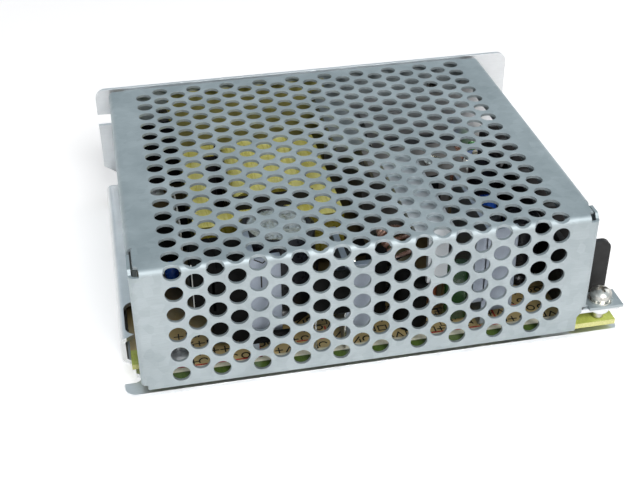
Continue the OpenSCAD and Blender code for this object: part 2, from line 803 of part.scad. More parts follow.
// Bobbin: two end flanges joined by a tube around the centre leg, with a pin rail below each
module transformer_bobbin() {
    mid = (winding_x0 + winding_x1) / 2;
    tube_w = centre_w + 2 * flange_t + 2 * nothing;
    z1 = core_z + core_t + 4;
    color([0.13, 0.13, 0.14]) on_board(transformer_at) difference() {
        union() {
            for (y = [winding_y0, winding_y1 - flange_t])
                block([winding_x0 - 1, y, core_z - 4.5], [winding_x1, y + flange_t, z1]);
            block([mid - tube_w / 2, winding_y0, core_z - flange_t],
                  [mid + tube_w / 2, winding_y1, core_z + core_t + flange_t]);
            for (y = [core_y0 + 1, winding_y1 - flange_t])
                block([winding_x0 - 1, y, pcb_top], [winding_x1, y + core_leg, core_z - 1.4]);
        }
        block([mid - centre_w / 2, core_y0, core_z],
              [mid + centre_w / 2, core_y0 + core_y, core_z + core_t]);
    }
}

// Taped winding with rounded corners around the bobbin's tube
module transformer_winding() {
    mid = (winding_x0 + winding_x1) / 2;
    mid_z = core_z + core_t / 2;
    w = winding_x1 - winding_x0 - 1;
    h = core_t + 10;
    r = 4;
    tube_w = centre_w + 2 * flange_t + 2 * nothing;
    tube_h = core_t + 2 * flange_t;
    color([0.9, 0.83, 0.3]) on_board(transformer_at)
        sheet_xz(winding_y0 + flange_t, winding_y1 - winding_y0 - 2 * flange_t) difference() {
            translate([mid, mid_z]) union() {
                square([w, h - 2 * r], center = true);
                square([w - 2 * r, h], center = true);
                for (i = [-1, 1]) for (j = [-1, 1])
                    translate([i * (w / 2 - r), j * (h / 2 - r)]) circle(r);
            }
            translate([mid, mid_z]) square([tube_w, tube_h], center = true);
        }
}

// ---------- Parts on legs ----------

// Round capacitor in a sleeve, with a crimped neck and a sunken metal top
module round_capacitor(d, h) {
    r = d / 2;
    lip = d * 0.06;
    neck = h * 0.12;
    translate([0, 0, pcb_top]) rotate_extrude() polygon([
        [0, 0], [r - lip, 0], [r, lip], [r, neck], [r - lip, neck + lip],
        [r - lip, neck + 1.5 * lip], [r, neck + 2.5 * lip], [r, h - lip], [r - lip, h],
        [r - 2 * lip, h], [r - 2 * lip, h - lip / 2], [0, h - lip / 2]]);
}

// Upright disc on two legs, in the X and Z plane, with its middle at x, y
module upright_disc(x, y, d, t) {
    leg_w = 0.7;
    lift = 1.8;
    translate([x, y + t / 2, pcb_top + lift + d / 2]) rotate([90, 0, 0]) rotate_extrude()
        polygon([[0, 0], [d / 2 - t / 4, 0], [d / 2, t / 4], [d / 2, 3 * t / 4],
                 [d / 2 - t / 4, t], [0, t]]);
    for (i = [-1, 1])
        block([x + i * d / 4 - leg_w / 2, y - leg_w / 2, pcb_top],
              [x + i * d / 4 + leg_w / 2, y + leg_w / 2, pcb_top + lift + d / 4]);
}

// Flat-backed transistor on three legs: back face on the plane y = 0, looking towards -Y
module power_package(w, h, t, z0) {
    leg = 0.9;
    hole = w * 0.32;
    translate([0, 0, z0]) difference() {
        union() {
            block([-w / 2, -t, 0], [w / 2, 0, h * 0.62]);
            block([-w / 2, -t * 0.45, 0], [w / 2, 0, h]);
        }
        translate([0, 1, h * 0.8]) rotate([90, 0, 0]) cylinder(d = hole, h = t + 2);
    }
    for (i = [-1, 0, 1])
        block([i * w / 4 - leg / 2, -t * 0.6, pcb_top], [i * w / 4 + leg / 2, -t * 0.3, z0 + nothing]);
}

package_z = pcb_top + 6;
package_screw_d = 3;

module bulk_capacitor() {
    color([0.12, 0.12, 0.14]) on_board([bulk_x, bulk_y])
        translate([bulk_x, bulk_y, 0]) round_capacitor(bulk_d, bulk_h);
}

control_at = [plan_left + 8.9, plan_near + 25];
disc_at = [plan_block_x - 9.4, plan_near + 42];
varistor_at = [plan_left + 13.2, plan_near + 45.5];
film_at = [sink_3_x - 5.4, plan_near + 11];
resistor_at = [sink_3_x - 9.4, plan_near + 17.5];
output_1 = [plan_block_x - 5.8, plan_near + 25];
output_2 = [sink_3_x + sink_t + output_d / 2 + 0.4, plan_near + 28];
output_3 = [plan_block_x - 5.6, plan_near + 55.5];

module output_capacitor_1() {
    color([0.1, 0.1, 0.12]) on_board(output_1) translate(output_1) round_capacitor(output_d, output_h);
}

module output_capacitor_2() {
    color([0.1, 0.1, 0.12]) on_board(output_2) translate(output_2) round_capacitor(output_d, output_h);
}

module output_capacitor_3() {
    color([0.1, 0.1, 0.12]) on_board(output_3) translate(output_3) round_capacitor(output_d, output_h);
}

module control_capacitor() {
    color([0.1, 0.15, 0.35]) on_board(control_at) translate(control_at) round_capacitor(5, 11);
}

module disc_capacitor() {
    color([0.08, 0.2, 0.62]) on_board(disc_at) translate(disc_at)
        rotate(90) upright_disc(0, 0, disc_d, 3.6);
}

module varistor() {
    color([0.1, 0.25, 0.6]) on_board(varistor_at) upright_disc(varistor_at[0], varistor_at[1], 9, 3.6);
}

module film_capacitor() {
    w = 6.4;
    t = 4.4;
    h = 16;
    r = 1.5;
    x = film_at[0];
    y = film_at[1];
    color([0.14, 0.27, 0.12]) on_board(film_at) {
        translate([x, y, pcb_top + 1]) linear_extrude(h) union() {
            square([w, t - 2 * r], center = true);
            square([w - 2 * r, t], center = true);
            for (i = [-1, 1]) for (j = [-1, 1])
                translate([i * (w / 2 - r), j * (t / 2 - r)]) circle(r);
        }
        for (i = [-1, 1]) translate([x + i * w / 4, y, pcb_top]) cylinder(d = 0.7, h = 2);
    }
}

module upright_resistor() {
    x = resistor_at[0];
    y = resistor_at[1];
    color([0.8, 0.35, 0.2]) on_board(resistor_at) {
        translate([x, y, pcb_top + 1]) cylinder(d = 2.4, h = 7);
        translate([x, y, pcb_top]) cylinder(d = 0.7, h = 12);
        translate([x + 3, y, pcb_top]) cylinder(d = 0.7, h = 12);
        block([x - 0.35, y - 0.35, pcb_top + 12], [x + 3.35, y + 0.35, pcb_top + 12.7]);
    }
}

// ---------- Heatsinks ----------

// Heatsink with a front flange and a main plate on the flange's left side
module folded_sink(x, w, l, z0, z1) {
    block([x, sink_y, z0], [x + w, sink_y + sink_t, z1]);
    block([x, sink_y, pcb_top + 1], [x + sink_t, sink_y + l, z1]);
    for (y = [sink_y + 1, sink_y + l - 4]) block([x, y, pcb_top], [x + sink_t, y + 3, pcb_top + 2]);
}

module sink_hole(x, y, z) {
    translate([x - 1, y, z]) rotate([0, 90, 0]) cylinder(d = package_screw_d, h = sink_t + 2);
}

switch_w = 12;
switch_h = 20;
switch_y = sink_y + 8.4;
diode_w = 10;
diode_h = 16;
snubber_y = sink_y + 9;
rectifier_y = sink_y + 9;

module switch_heatsink() {
    color([0.62, 0.66, 0.72]) on_board(sink_1_at) difference() {
        folded_sink(sink_1_x, 7.6, 13.4, 9, sink_top);
        sink_hole(sink_1_x, switch_y, package_z + switch_h * 0.8);
    }
}

module switch_transistor() {
    color([0.1, 0.1, 0.11]) on_board(sink_1_at) translate([sink_1_x, switch_y, 0]) rotate(-90)
        power_package(switch_w, switch_h, 4.8, package_z);
}

module snubber_heatsink() {
    color([0.62, 0.66, 0.72]) on_board(sink_2_at) difference() {
        folded_sink(sink_2_x, 7.6, 18, 8, 28.5);
        sink_hole(sink_2_x, snubber_y, package_z + diode_h * 0.8);
    }
}

module snubber_diode() {
    color([0.1, 0.1, 0.11]) on_board(sink_2_at) translate([sink_2_x + sink_t, snubber_y, 0]) rotate(90)
        power_package(diode_w, diode_h, 4.4, package_z);
}

module rectifier_heatsink() {
    color([0.62, 0.66, 0.72]) on_board(sink_3_at) difference() {
        folded_sink(sink_3_x, 8.2, sink_3_l, 9, sink_top);
        sink_hole(sink_3_x, rectifier_y, package_z + diode_h * 0.8);
    }
}

module rectifier_diode() {
    color([0.1, 0.1, 0.11]) on_board(sink_3_at)
        translate([sink_3_x + sink_t, rectifier_y, 0]) rotate(90)
        power_package(diode_w, diode_h, 4.4, package_z);
}

// Heatsink along X with a top flange towards the near wall
out_x0 = plan_left + 71.5;
out_x1 = plan_left + 97.5;
out_y0 = plan_near + 39;
out_y1 = plan_near + 53.6;
out_z = pcb_top + 28.6;
out_screw = [out_x1 - 8.2, out_y0 + 4];
diode_x = out_x1 - 9;
output_at = [out_x0 + 13, plan_near + 11];

module output_heatsink() {
    color([0.5, 0.49, 0.48]) on_board(output_at) difference() {
        union() {
            block([out_x0, out_y0, out_z - sink_t], [out_x1, out_y1, out_z]);
            block([out_x0, out_y1 - sink_t, pcb_top], [out_x1, out_y1, out_z]);
        }
        translate([out_screw[0], out_screw[1], 0]) cylinder(d = package_screw_d, h = case_h);
        translate([diode_x, out_y1 + 1, package_z + diode_h * 0.8]) rotate([90, 0, 0])
            cylinder(d = package_screw_d, h = sink_t + 2);
    }
}

module output_diode() {
    color([0.1, 0.1, 0.11]) on_board(output_at) translate([diode_x, out_y1 - sink_t, 0])
        power_package(diode_w, diode_h, 4.4, package_z);
}

// Heatsink along Y beside the transformer, with a top flange over the core
inlet_x1 = core_x0 + core_x + 12;
inlet_y0 = plan_far - 41;
inlet_y1 = plan_far - 5;
inlet_at = [inlet_x1, inlet_y0];

module inlet_heatsink() {
    color([0.62, 0.63, 0.65]) on_board(inlet_at) difference() {
        union() {
            block([inlet_x1 - sink_t, inlet_y0, pcb_top], [inlet_x1, inlet_y1, 33]);
            block([inlet_x1 - 9.5, inlet_y0, 33 - sink_t], [inlet_x1, inlet_y1, 33]);
        }
        sink_hole(inlet_x1 - sink_t, inlet_y0 + 16, package_z + 12);
    }
}

module bridge_rectifier() {
    w = 20;
    h = 16;
    t = 3.6;
    leg = 1;
    color([0.1, 0.1, 0.11]) on_board(inlet_at) translate([inlet_x1, inlet_y0 + 16, 0]) {
        difference() {
            block([0, -w / 2, package_z], [t, w / 2, package_z + h]);
            translate([-1, 0, package_z + 12]) rotate([0, 90, 0])
                cylinder(d = package_screw_d + thread_gap, h = t + 2);
        }
        for (i = [-1.5 : 1.5])
            block([t / 2 - leg / 2, i * 5 - leg / 2, pcb_top],
                  [t / 2 + leg / 2, i * 5 + leg / 2, package_z + nothing]);
    }
}

// Bracket close under the cover: a foot on the output heatsink, a strip and a front leg
module top_bracket() {
    x0 = out_x0 + 2;
    x1 = x0 + 10;
    y0 = plan_near + 5.4;
    z1 = pcb_top + layout[2] - 1;
    t = 1.2;
    color([0.74, 0.78, 0.8]) on_board(output_at) {
        block([x0, y0, z1 - t], [x1, out_y0 + t, z1]);
        block([x0 + 3.4, y0, pcb_top + 16.5], [x1 - 1.4, y0 + t, z1]);
        block([x0, out_y0, out_z], [x1, out_y0 + t, z1]);
        block([x0, out_y0, out_z], [x1, out_y0 + 7, out_z + t]);
    }
}

// Screws that hold the power parts to their heatsinks
module heatsink_screws() {
    shank_d = package_screw_d - thread_gap;
    z_switch = package_z + switch_h * 0.8;
    z_diode = package_z + diode_h * 0.8;
    color([0.78, 0.78, 0.76]) {
        on_board(sink_1_at) translate([sink_1_x - 4.8 * 0.45, switch_y, z_switch]) rotate([0, -90, 0])
            screw_with_shank(shank_d, 3.4);
        on_board(sink_2_at)
            translate([sink_2_x + sink_t + 4.4 * 0.45, snubber_y, z_diode]) rotate([0, 90, 0])
            screw_with_shank(shank_d, 3.2);
        on_board(sink_3_at)
            translate([sink_3_x + sink_t + 4.4 * 0.45, rectifier_y, z_diode]) rotate([0, 90, 0])
            screw_with_shank(shank_d, 3.2);
        on_board(output_at)
            translate([diode_x, out_y1 - sink_t - 4.4 * 0.45, z_diode]) rotate([90, 0, 0])
            screw_with_shank(shank_d, 3.2);
        on_board(inlet_at) translate([inlet_x1 + 3.6, inlet_y0 + 16, package_z + 12]) rotate([0, 90, 0])
            screw_with_shank(shank_d, 4.8);
        on_board(output_at)
            translate([out_screw[0], out_screw[1], out_z]) screw_with_shank(shank_d, 2.4);
    }
}

module screw_with_shank(d, l) {
    pan_head(5.4, 1.9);
    translate([0, 0, -l]) cylinder(d = d, h = l + 0.8);
}

// ---------- Chokes, fuse and filter ----------

choke_t = 9;
choke_x = sink_2_x + 18;
choke_y = plan_near + 25;

// Ring core that stands on its rim, with its axis along X
module choke_core() {
    ri = choke_d * 0.27;
    ro = choke_d * 0.43;
    t = choke_t * 0.6;
    color([0.75, 0.7, 0.3]) on_board([choke_x, choke_y])
        translate([choke_x - t / 2, choke_y, pcb_top + choke_d / 2])
        rotate([0, 90, 0]) linear_extrude(t) difference() {
            circle(ro);
            circle(ri);
        }
}

// Copper winding: a ring shell around the core
module choke_winding() {
    ri = choke_d * 0.27;
    ro = choke_d * 0.43;
    t = choke_t * 0.6;
    turns = 20;
    wire = choke_d * 0.07;
    color([0.75, 0.45, 0.35]) on_board([choke_x, choke_y])
        translate([choke_x, choke_y, pcb_top + choke_d / 2])
        for (i = [0 : turns - 1]) rotate([i * 360 / turns, 0, 0]) difference() {
            block([-t / 2 - wire, -wire / 2 + 0.05, ri - wire],
                  [t / 2 + wire, wire / 2 - 0.05, ro + wire]);
            block([-t / 2, -wire, ri - wire / 8], [t / 2, wire, ro]);
        }
}

filter_x = inlet_x1 + 19;
filter_y = plan_far - 28.5;
filter_at = [filter_x, filter_y];
x_capacitor_at = [inlet_x1 + 6, plan_far - 15];
thermistor_at = [inlet_x1 + 11, plan_far - 18.4];
filter_leg = 5;
filter_span = 15;

module filter_core() {
    w = filter_span + filter_leg;
    h = 20;
    color([0.2, 0.2, 0.22]) on_board(filter_at) translate([filter_x, 0, pcb_top + 1.4])
        sheet_xz(filter_y - filter_leg / 2, filter_leg) difference() {
            translate([-w / 2, 0]) square([w, h]);
            translate([-w / 2 + filter_leg, filter_leg])
                square([w - 2 * filter_leg, h - 2 * filter_leg]);
        }
}

// Two wound drums on the upright legs of the filter's core
module filter_winding() {
    hole = filter_leg + 2 * thread_gap;
    color([0.7, 0.42, 0.2]) on_board(filter_at) for (i = [-1, 1])
        translate([filter_x + i * filter_span / 2, filter_y, 0]) difference() {
            union() {
                translate([0, 0, pcb_top + 6.8]) cylinder(d = 11.6, h = 8.8);
                for (z = [pcb_top + 6.6, pcb_top + 14.8]) translate([0, 0, z])
                    cylinder(d = 12.6, h = 1);
            }
            translate([-hole / 2, -hole / 2, 0]) cube([hole, hole, case_h]);
        }
}

module x_capacitor() {
    x0 = x_capacitor_at[0];
    y0 = x_capacitor_at[1];
    color([0.6, 0.61, 0.6]) on_board(x_capacitor_at) {
        block([x0, y0, pcb_top + 0.5], [x0 + 26, y0 + 10.5, pcb_top + 19]);
        for (i = [3, 21]) block([x0 + i, y0, pcb_top], [x0 + i + 2, y0 + 10.5, pcb_top + 0.5]);
    }
}

module inlet_thermistor() {
    color([0.15, 0.3, 0.2]) on_board(thermistor_at)
        upright_disc(thermistor_at[0], thermistor_at[1], 10, 3.6);
}

fuse_x = plan_block_x - 4.4;
fuse_y0 = plan_near + 63;
fuse_d = 5;
fuse_l = 20;
fuse_z = pcb_top + 4;
fuse_at = [fuse_x, fuse_y0 + fuse_l / 2];
optocoupler_at = [plan_left + 66, plan_near + 43];

module fuse_tube() {
    color([0.85, 0.85, 0.82]) on_board(fuse_at)
        translate([fuse_x, fuse_y0, fuse_z]) rotate([-90, 0, 0]) union() {
        cylinder(d = fuse_d, h = 5);
        translate([0, 0, 5]) cylinder(d = fuse_d - 0.5, h = fuse_l - 10);
        translate([0, 0, fuse_l - 5]) cylinder(d = fuse_d, h = 5);
    }
}

module fuse_clips() {
    t = 0.5;
    color([0.78, 0.76, 0.66]) on_board(fuse_at) for (y = [fuse_y0 + 0.6, fuse_y0 + fuse_l - 4.6])
        translate([0, y, 0]) {
            translate([fuse_x, 4, fuse_z]) rotate([90, 0, 0]) linear_extrude(4) difference() {
                circle(fuse_d / 2 + t);
                circle(fuse_d / 2);
                translate([-fuse_d, 0.8]) square([2 * fuse_d, fuse_d]);
            }
            difference() {
                block([fuse_x - 1, 0, pcb_top], [fuse_x + 1, 4, fuse_z - fuse_d / 2]);
                translate([fuse_x, -1, fuse_z]) rotate([-90, 0, 0])
                    cylinder(d = fuse_d + t, h = 6);
            }
        }
}

module optocoupler() {
    x = optocoupler_at[0];
    y = optocoupler_at[1];
    color([0.12, 0.12, 0.13]) on_board(optocoupler_at) {
        block([x, y, pcb_top + 0.6], [x + 4.6, y + 6.2, pcb_top + 4]);
        for (i = [0, 1]) for (j = [1, 4.6])
            block([x - 0.5 + i * 5.1, y + j, pcb_top],
                  [x + i * 5.1, y + j + 0.8, pcb_top + 2.4]);
    }
}

// ---------- Adjustment and lamp ----------

trimmer_w = 6.6;
trimmer_h = 4.6;
rotor_d = 4.4;
rotor_h = 2;
rotor_sink = 1.2;
trimmer_at = [plan_block_x + 3.4, plan_far - 13];
lamp_at = [plan_block_x + 3.4, plan_far - 5.5];

module trimmer_body() {
    color([0.15, 0.3, 0.6]) on_board(trimmer_at)
        translate([trimmer_at[0], trimmer_at[1], pcb_top]) difference() {
        translate([-trimmer_w / 2, -trimmer_w / 2, 0]) cube([trimmer_w, trimmer_w, trimmer_h]);
        translate([0, 0, trimmer_h - rotor_sink]) cylinder(d = rotor_d + 2 * fit_gap, h = 4);
    }
}

module trimmer_rotor() {
    slot = 0.8;
    color([0.9, 0.88, 0.75]) on_board(trimmer_at)
        translate([trimmer_at[0], trimmer_at[1], pcb_top + trimmer_h - rotor_sink]) difference() {
            cylinder(d = rotor_d, h = rotor_h);
            translate([-rotor_d / 2, -slot / 2, rotor_h - slot]) cube([rotor_d, slot, 2]);
            translate([-slot / 2, -rotor_d / 2, rotor_h - slot]) cube([slot, rotor_d, 2]);
        }
}

module indicator_lamp() {
    lamp_d = 3;
    lamp_h = 4;
    color([0.3, 0.75, 0.3]) on_board(lamp_at) translate([lamp_at[0], lamp_at[1], pcb_top]) {
        cylinder(d = lamp_d + 0.8, h = 1);
        cylinder(d = lamp_d, h = lamp_h);
        translate([0, 0, lamp_h]) sphere(d = lamp_d);
    }
}

chassis();
cover();
pcb();
base_film();
wall_insulator();
barrier_sheet();
terminal_housing();
terminal_contacts();
terminal_screw_1();
terminal_screw_2();
terminal_screw_3();
terminal_screw_4();
terminal_screw_5();
terminal_screw_6();
terminal_screw_7();
ear_bracket();
ear_screw();
ear_spring_washer();
ear_flat_washer();
cover_screws();
board_screws();
transformer_core();
core_tape();
transformer_bobbin();
transformer_winding();
bulk_capacitor();
switch_heatsink();
switch_transistor();
heatsink_screws();
snubber_heatsink();
snubber_diode();
rectifier_heatsink();
rectifier_diode();
output_heatsink();
output_diode();
inlet_heatsink();
bridge_rectifier();
top_bracket();
choke_core();
choke_winding();
output_capacitor_1();
output_capacitor_2();
output_capacitor_3();
disc_capacitor();
varistor();
film_capacitor();
control_capacitor();
upright_resistor();
x_capacitor();
filter_core();
filter_winding();
inlet_thermistor();
fuse_tube();
fuse_clips();
optocoupler();
trimmer_body();
trimmer_rotor();
indicator_lamp();
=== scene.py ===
"""Looks of the mesh case switching power supply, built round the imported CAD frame."""

import json
import math
import random

import bmesh
import bpy
from mathutils import Matrix, Vector


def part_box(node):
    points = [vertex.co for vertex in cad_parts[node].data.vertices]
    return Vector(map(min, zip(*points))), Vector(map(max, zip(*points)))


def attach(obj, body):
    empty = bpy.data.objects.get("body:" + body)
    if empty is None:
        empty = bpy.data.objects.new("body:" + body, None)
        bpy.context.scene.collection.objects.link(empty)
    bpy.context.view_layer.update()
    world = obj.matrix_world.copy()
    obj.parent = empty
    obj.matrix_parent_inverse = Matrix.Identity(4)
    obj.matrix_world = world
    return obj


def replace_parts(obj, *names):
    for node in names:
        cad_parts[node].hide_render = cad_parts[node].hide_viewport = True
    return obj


MM = 0.001
CASE = "case"

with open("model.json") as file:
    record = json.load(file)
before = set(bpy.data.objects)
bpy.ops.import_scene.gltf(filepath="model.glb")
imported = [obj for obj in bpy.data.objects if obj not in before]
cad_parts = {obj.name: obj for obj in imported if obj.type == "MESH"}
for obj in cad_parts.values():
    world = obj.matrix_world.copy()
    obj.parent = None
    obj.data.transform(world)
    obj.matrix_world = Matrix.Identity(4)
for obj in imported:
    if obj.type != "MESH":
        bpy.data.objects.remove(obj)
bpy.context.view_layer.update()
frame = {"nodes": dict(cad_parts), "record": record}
nodes = frame["nodes"]
dice = random.Random(7)


def box_mm(node):
    """Lowest and highest corner of a CAD node, in millimetres."""
    low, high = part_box(node)
    return low / MM, high / MM


# ---------------------------------------------------------------- camera

CAMERA_AT = (-57.75, -255.85, 182.07)
CAMERA_RIGHT = (0.97919, -0.20282, -0.00657)
CAMERA_UP = (0.11807, 0.54313, 0.83129)
CAMERA_FORWARD = (0.16504, 0.81478, -0.55578)
CAMERA_LENS = 61.60
CAMERA_SENSOR = 36
CAMERA_CLIP = (0.01, 20)


def add_camera():
    """The camera, from its place in millimetres and the directions of its axes."""
    data = bpy.data.cameras.new("camera")
    data.lens = CAMERA_LENS
    data.sensor_width = CAMERA_SENSOR
    data.clip_start, data.clip_end = CAMERA_CLIP
    camera = bpy.data.objects.new("camera", data)
    bpy.context.scene.collection.objects.link(camera)
    axes = Matrix((CAMERA_RIGHT, CAMERA_UP, [-c for c in CAMERA_FORWARD])).transposed()
    camera.matrix_world = Matrix.Translation(Vector(CAMERA_AT) * MM) @ axes.to_4x4()
    bpy.context.scene.camera = camera


add_camera()
bpy.context.scene.view_settings.view_transform = "Standard"


# ---------------------------------------------------------------- materials


def rgba(value):
    """A colour with full opacity, or the node output that stands for one."""
    if isinstance(value, bpy.types.NodeSocket):
        return value
    return (*value, 1.0)


class Surface:
    """A node material whose patterns are laid out in millimetres in the part's frame."""

    MIX_FACTOR, MIX_A, MIX_B, MIX_OUT = 0, 6, 7, 2

    def __init__(self, name, metallic=0.0, coat=0.0, specular=0.5):
        self.material = bpy.data.materials.new(name)
        self.material.use_nodes = True
        self.tree = self.material.node_tree
        self.shader = self.tree.nodes["Principled BSDF"]
        self.shader.inputs["Metallic"].default_value = metallic
        self.shader.inputs["IOR"].default_value = 1.5
        self.shader.inputs["Coat Weight"].default_value = coat
        self.shader.inputs["Specular IOR Level"].default_value = specular
        self.coords = self.add("ShaderNodeTexCoord").outputs["Object"]

    def add(self, kind, **values):
        node = self.tree.nodes.new(kind)
        for key, value in values.items():
            setattr(node, key, value)
        return node

    def plug(self, source, target):
        """Joins an output to an input, or sets the input where the source is a plain value."""
        if isinstance(source, bpy.types.NodeSocket):
            self.tree.links.new(source, target)
        else:
            target.default_value = source

    def place(self, stretch=(1, 1, 1), shift=(0, 0, 0)):
        node = self.add("ShaderNodeMapping")
        node.inputs["Scale"].default_value = [s / MM for s in stretch]
        node.inputs["Location"].default_value = shift
        self.plug(self.coords, node.inputs["Vector"])
        return node.outputs["Vector"]

    def noise(self, scale, detail, stretch=(1, 1, 1), shift=(0, 0, 0)):
        node = self.add("ShaderNodeTexNoise")
        node.inputs["Scale"].default_value = scale
        node.inputs["Detail"].default_value = detail
        self.plug(self.place(stretch, shift), node.inputs["Vector"])
        return node.outputs["Fac"]

    def crystals(self, scale):
        """Cells in a shade of grey each."""
        cells = self.add("ShaderNodeTexVoronoi")
        cells.inputs["Scale"].default_value = scale
        self.plug(self.place(), cells.inputs["Vector"])
        grey = self.add("ShaderNodeRGBToBW")
        self.plug(cells.outputs["Color"], grey.inputs[0])
        return grey.outputs[0]

    def span(self, value, low, high, to_low=0.0, to_high=1.0, smooth=False):
        """The value's way from low to high, as a number from to_low to to_high."""
        node = self.add("ShaderNodeMapRange")
        if smooth:
            node.interpolation_type = "SMOOTHSTEP"
        self.plug(value, node.inputs["Value"])
        limits = {"From Min": low, "From Max": high, "To Min": to_low, "To Max": to_high}
        for key, number in limits.items():
            node.inputs[key].default_value = number
        return node.outputs["Result"]

    def maths(self, operation, a, b=0.0):
        node = self.add("ShaderNodeMath", operation=operation)
        self.plug(a, node.inputs[0])
        self.plug(b, node.inputs[1])
        return node.outputs["Value"]

    def mix(self, factor, a, b, blend="MIX"):
        node = self.add("ShaderNodeMix", data_type="RGBA", blend_type=blend)
        self.plug(factor, node.inputs[self.MIX_FACTOR])
        self.plug(rgba(a), node.inputs[self.MIX_A])
        self.plug(rgba(b), node.inputs[self.MIX_B])
        return node.outputs[self.MIX_OUT]

    def axis(self, name):
        """X, Y or Z of the point, in millimetres."""
        node = self.add("ShaderNodeSeparateXYZ")
        self.plug(self.place(), node.inputs[0])
        return node.outputs[name]

    def sides(self):
        """1 on upright faces and 0 on level ones."""
        node = self.add("ShaderNodeSeparateXYZ")
        self.plug(self.add("ShaderNodeNewGeometry").outputs["True Normal"], node.inputs[0])
        return self.span(self.maths("ABSOLUTE", node.outputs["Z"]), 0.4, 0.6, 1.0, 0.0)

    def colour(self, value):
        self.plug(value, self.shader.inputs["Base Color"])

    def rough(self, value):
        self.plug(value, self.shader.inputs["Roughness"])

    def bump(self, height, distance, strength, edge=0.0):
        """Bump from a height pattern. The distance is in millimetres.

        Where edge is given, sharp edges look rounded by that many millimetres.
        """
        node = self.add("ShaderNodeBump")
        node.inputs["Strength"].default_value = strength
        node.inputs["Distance"].default_value = distance * MM
        self.plug(height, node.inputs["Height"])
        if edge:
            soft = self.add("ShaderNodeBevel", samples=4)
            soft.inputs["Radius"].default_value = edge * MM
            self.plug(soft.outputs["Normal"], node.inputs["Normal"])
        self.plug(node.outputs["Normal"], self.shader.inputs["Normal"])


LENGTHWISE, UPRIGHT, CROSSWISE = (0.05, 1, 1), (1, 1, 0.05), (1, 0.05, 1)
EDGE_WEAR = 0.1


def sheet_metal(name, dark, light, grain=(0.03, 1, 1), rough=(0.3, 0.45), metallic=0.9, spangle=0.12):
    """Rolled sheet: a fine grain along one axis, faint crystals and cloudy stains."""
    s = Surface(name, metallic=metallic)
    cloud = s.span(s.noise(0.09, 4), 0.35, 0.68)
    rolled = s.span(s.noise(7.0, 2, stretch=grain), 0.3, 0.7)
    base = s.mix(spangle, s.mix(cloud, dark, light), s.crystals(0.45), "SOFT_LIGHT")
    base = s.mix(s.maths("MULTIPLY", rolled, 0.16), base, [c * 0.8 for c in dark])
    s.colour(base)
    worn = s.maths("ADD", s.maths("MULTIPLY", cloud, 0.5), s.maths("MULTIPLY", rolled, 0.5))
    s.rough(s.span(worn, 0, 1, *rough))
    s.bump(s.noise(5.0, 3, stretch=grain), 0.02, 0.25, edge=0.12)
    return s.material


def plastic(name, dark, light, rough=(0.35, 0.5), fine=6.0, coat=0.0, specular=0.5, clear=0.0,
            edge=EDGE_WEAR):
    """Moulded or dipped plastic: soft colour clouds, a fine skin and worn gloss."""
    s = Surface(name, coat=coat, specular=specular)
    s.colour(s.mix(s.span(s.noise(0.25, 4), 0.3, 0.7), dark, light))
    s.rough(s.span(s.noise(0.75, 3, shift=(9, 4, 2)), 0.3, 0.7, *rough))
    s.bump(s.noise(fine, 3), 0.03, 0.4, edge)
    if clear:
        s.shader.inputs["Transmission Weight"].default_value = clear
    return s.material


def plated(name, dark, light, rough=(0.16, 0.3)):
    """Plated steel: bright, with fine turning marks and dull spots."""
    s = Surface(name, metallic=1.0)
    spots = s.span(s.noise(1.1, 5), 0.45, 0.75)
    s.colour(s.mix(spots, light, dark))
    s.rough(s.span(spots, 0, 1, *rough))
    s.bump(s.noise(9.0, 2), 0.015, 0.3, EDGE_WEAR)
    return s.material


def enamelled(name, metallic, rough):
    """Enamelled copper wire, and the cloud pattern that its colour follows."""
    s = Surface(name, metallic=metallic, coat=0.5)
    s.rough(s.span(s.noise(3.0, 3), 0.3, 0.7, *rough))
    s.bump(s.noise(12.0, 2), 0.01, 0.3)
    return s, s.span(s.noise(0.5, 4), 0.3, 0.7)


def copper_wire():
    s, cloud = enamelled("copper_wire", 0.6, (0.2, 0.36))
    s.colour(s.mix(cloud, (0.40, 0.17, 0.09), (0.66, 0.36, 0.26)))
    return s.material


def shaded_winding():
    """Enamelled copper wire with painted shade, near black, on its lower part."""
    shade_end = (20.4, 21.4)
    s, cloud = enamelled("shaded_winding", 0.35, (0.18, 0.34))
    painted_shade = s.mix(cloud, (0.008, 0.009, 0.010), (0.02, 0.022, 0.024))
    copper = s.mix(cloud, (0.42, 0.20, 0.13), (0.68, 0.42, 0.34))
    # Painted shade: the lower part of the winding near black, the upper part copper.
    s.colour(s.mix(s.span(s.axis("Z"), *shade_end), painted_shade, copper))
    return s.material


def polyester_tape():
    """Yellow tape, with painted shade on its upright faces."""
    s = Surface("polyester_tape", coat=0.6)
    wraps = s.span(s.noise(0.8, 3, stretch=(1, 0.1, 1)), 0.35, 0.65)
    level = s.mix(wraps, (0.84, 0.76, 0.17), (0.96, 0.90, 0.27))
    # Painted shade: upright faces of the tape much darker than level ones.
    s.colour(s.mix(s.sides(), level, s.mix(wraps, (0.20, 0.17, 0.02), (0.30, 0.26, 0.04))))
    s.rough(s.span(wraps, 0, 1, 0.22, 0.38))
    s.bump(wraps, 0.08, 0.5, 0.15)
    return s.material


def can_aluminium():
    """Bare pressed tops of the capacitors: bright and wrinkled."""
    s = Surface("can_aluminium", metallic=1.0)
    dents = s.span(s.noise(0.35, 4), 0.3, 0.7)
    s.colour(s.mix(dents, (0.55, 0.56, 0.57), (0.90, 0.90, 0.90)))
    s.rough(s.span(dents, 0, 1, 0.12, 0.28))
    s.bump(s.noise(0.30, 3), 0.9, 0.8)
    return s.material


# Where the board's colours, painted light and painted shade change, in millimetres along Y or X
MARGIN_END = (-45.3, -45.15)
LIT_STRIPE_END = (-43.4, -43.1)
PAINTED_LIGHT_FADE = (-44.0, -30.0)
SHADE_FADE = (-30.0, -10.0)
RIGHT_LIT, RIGHT_LIT_END = (51.9, 52.2), (-40.6, -40.2)
LEFT_LIT, LEFT_LIT_END = (-58.6, -58.3), (-34.4, -34.0)


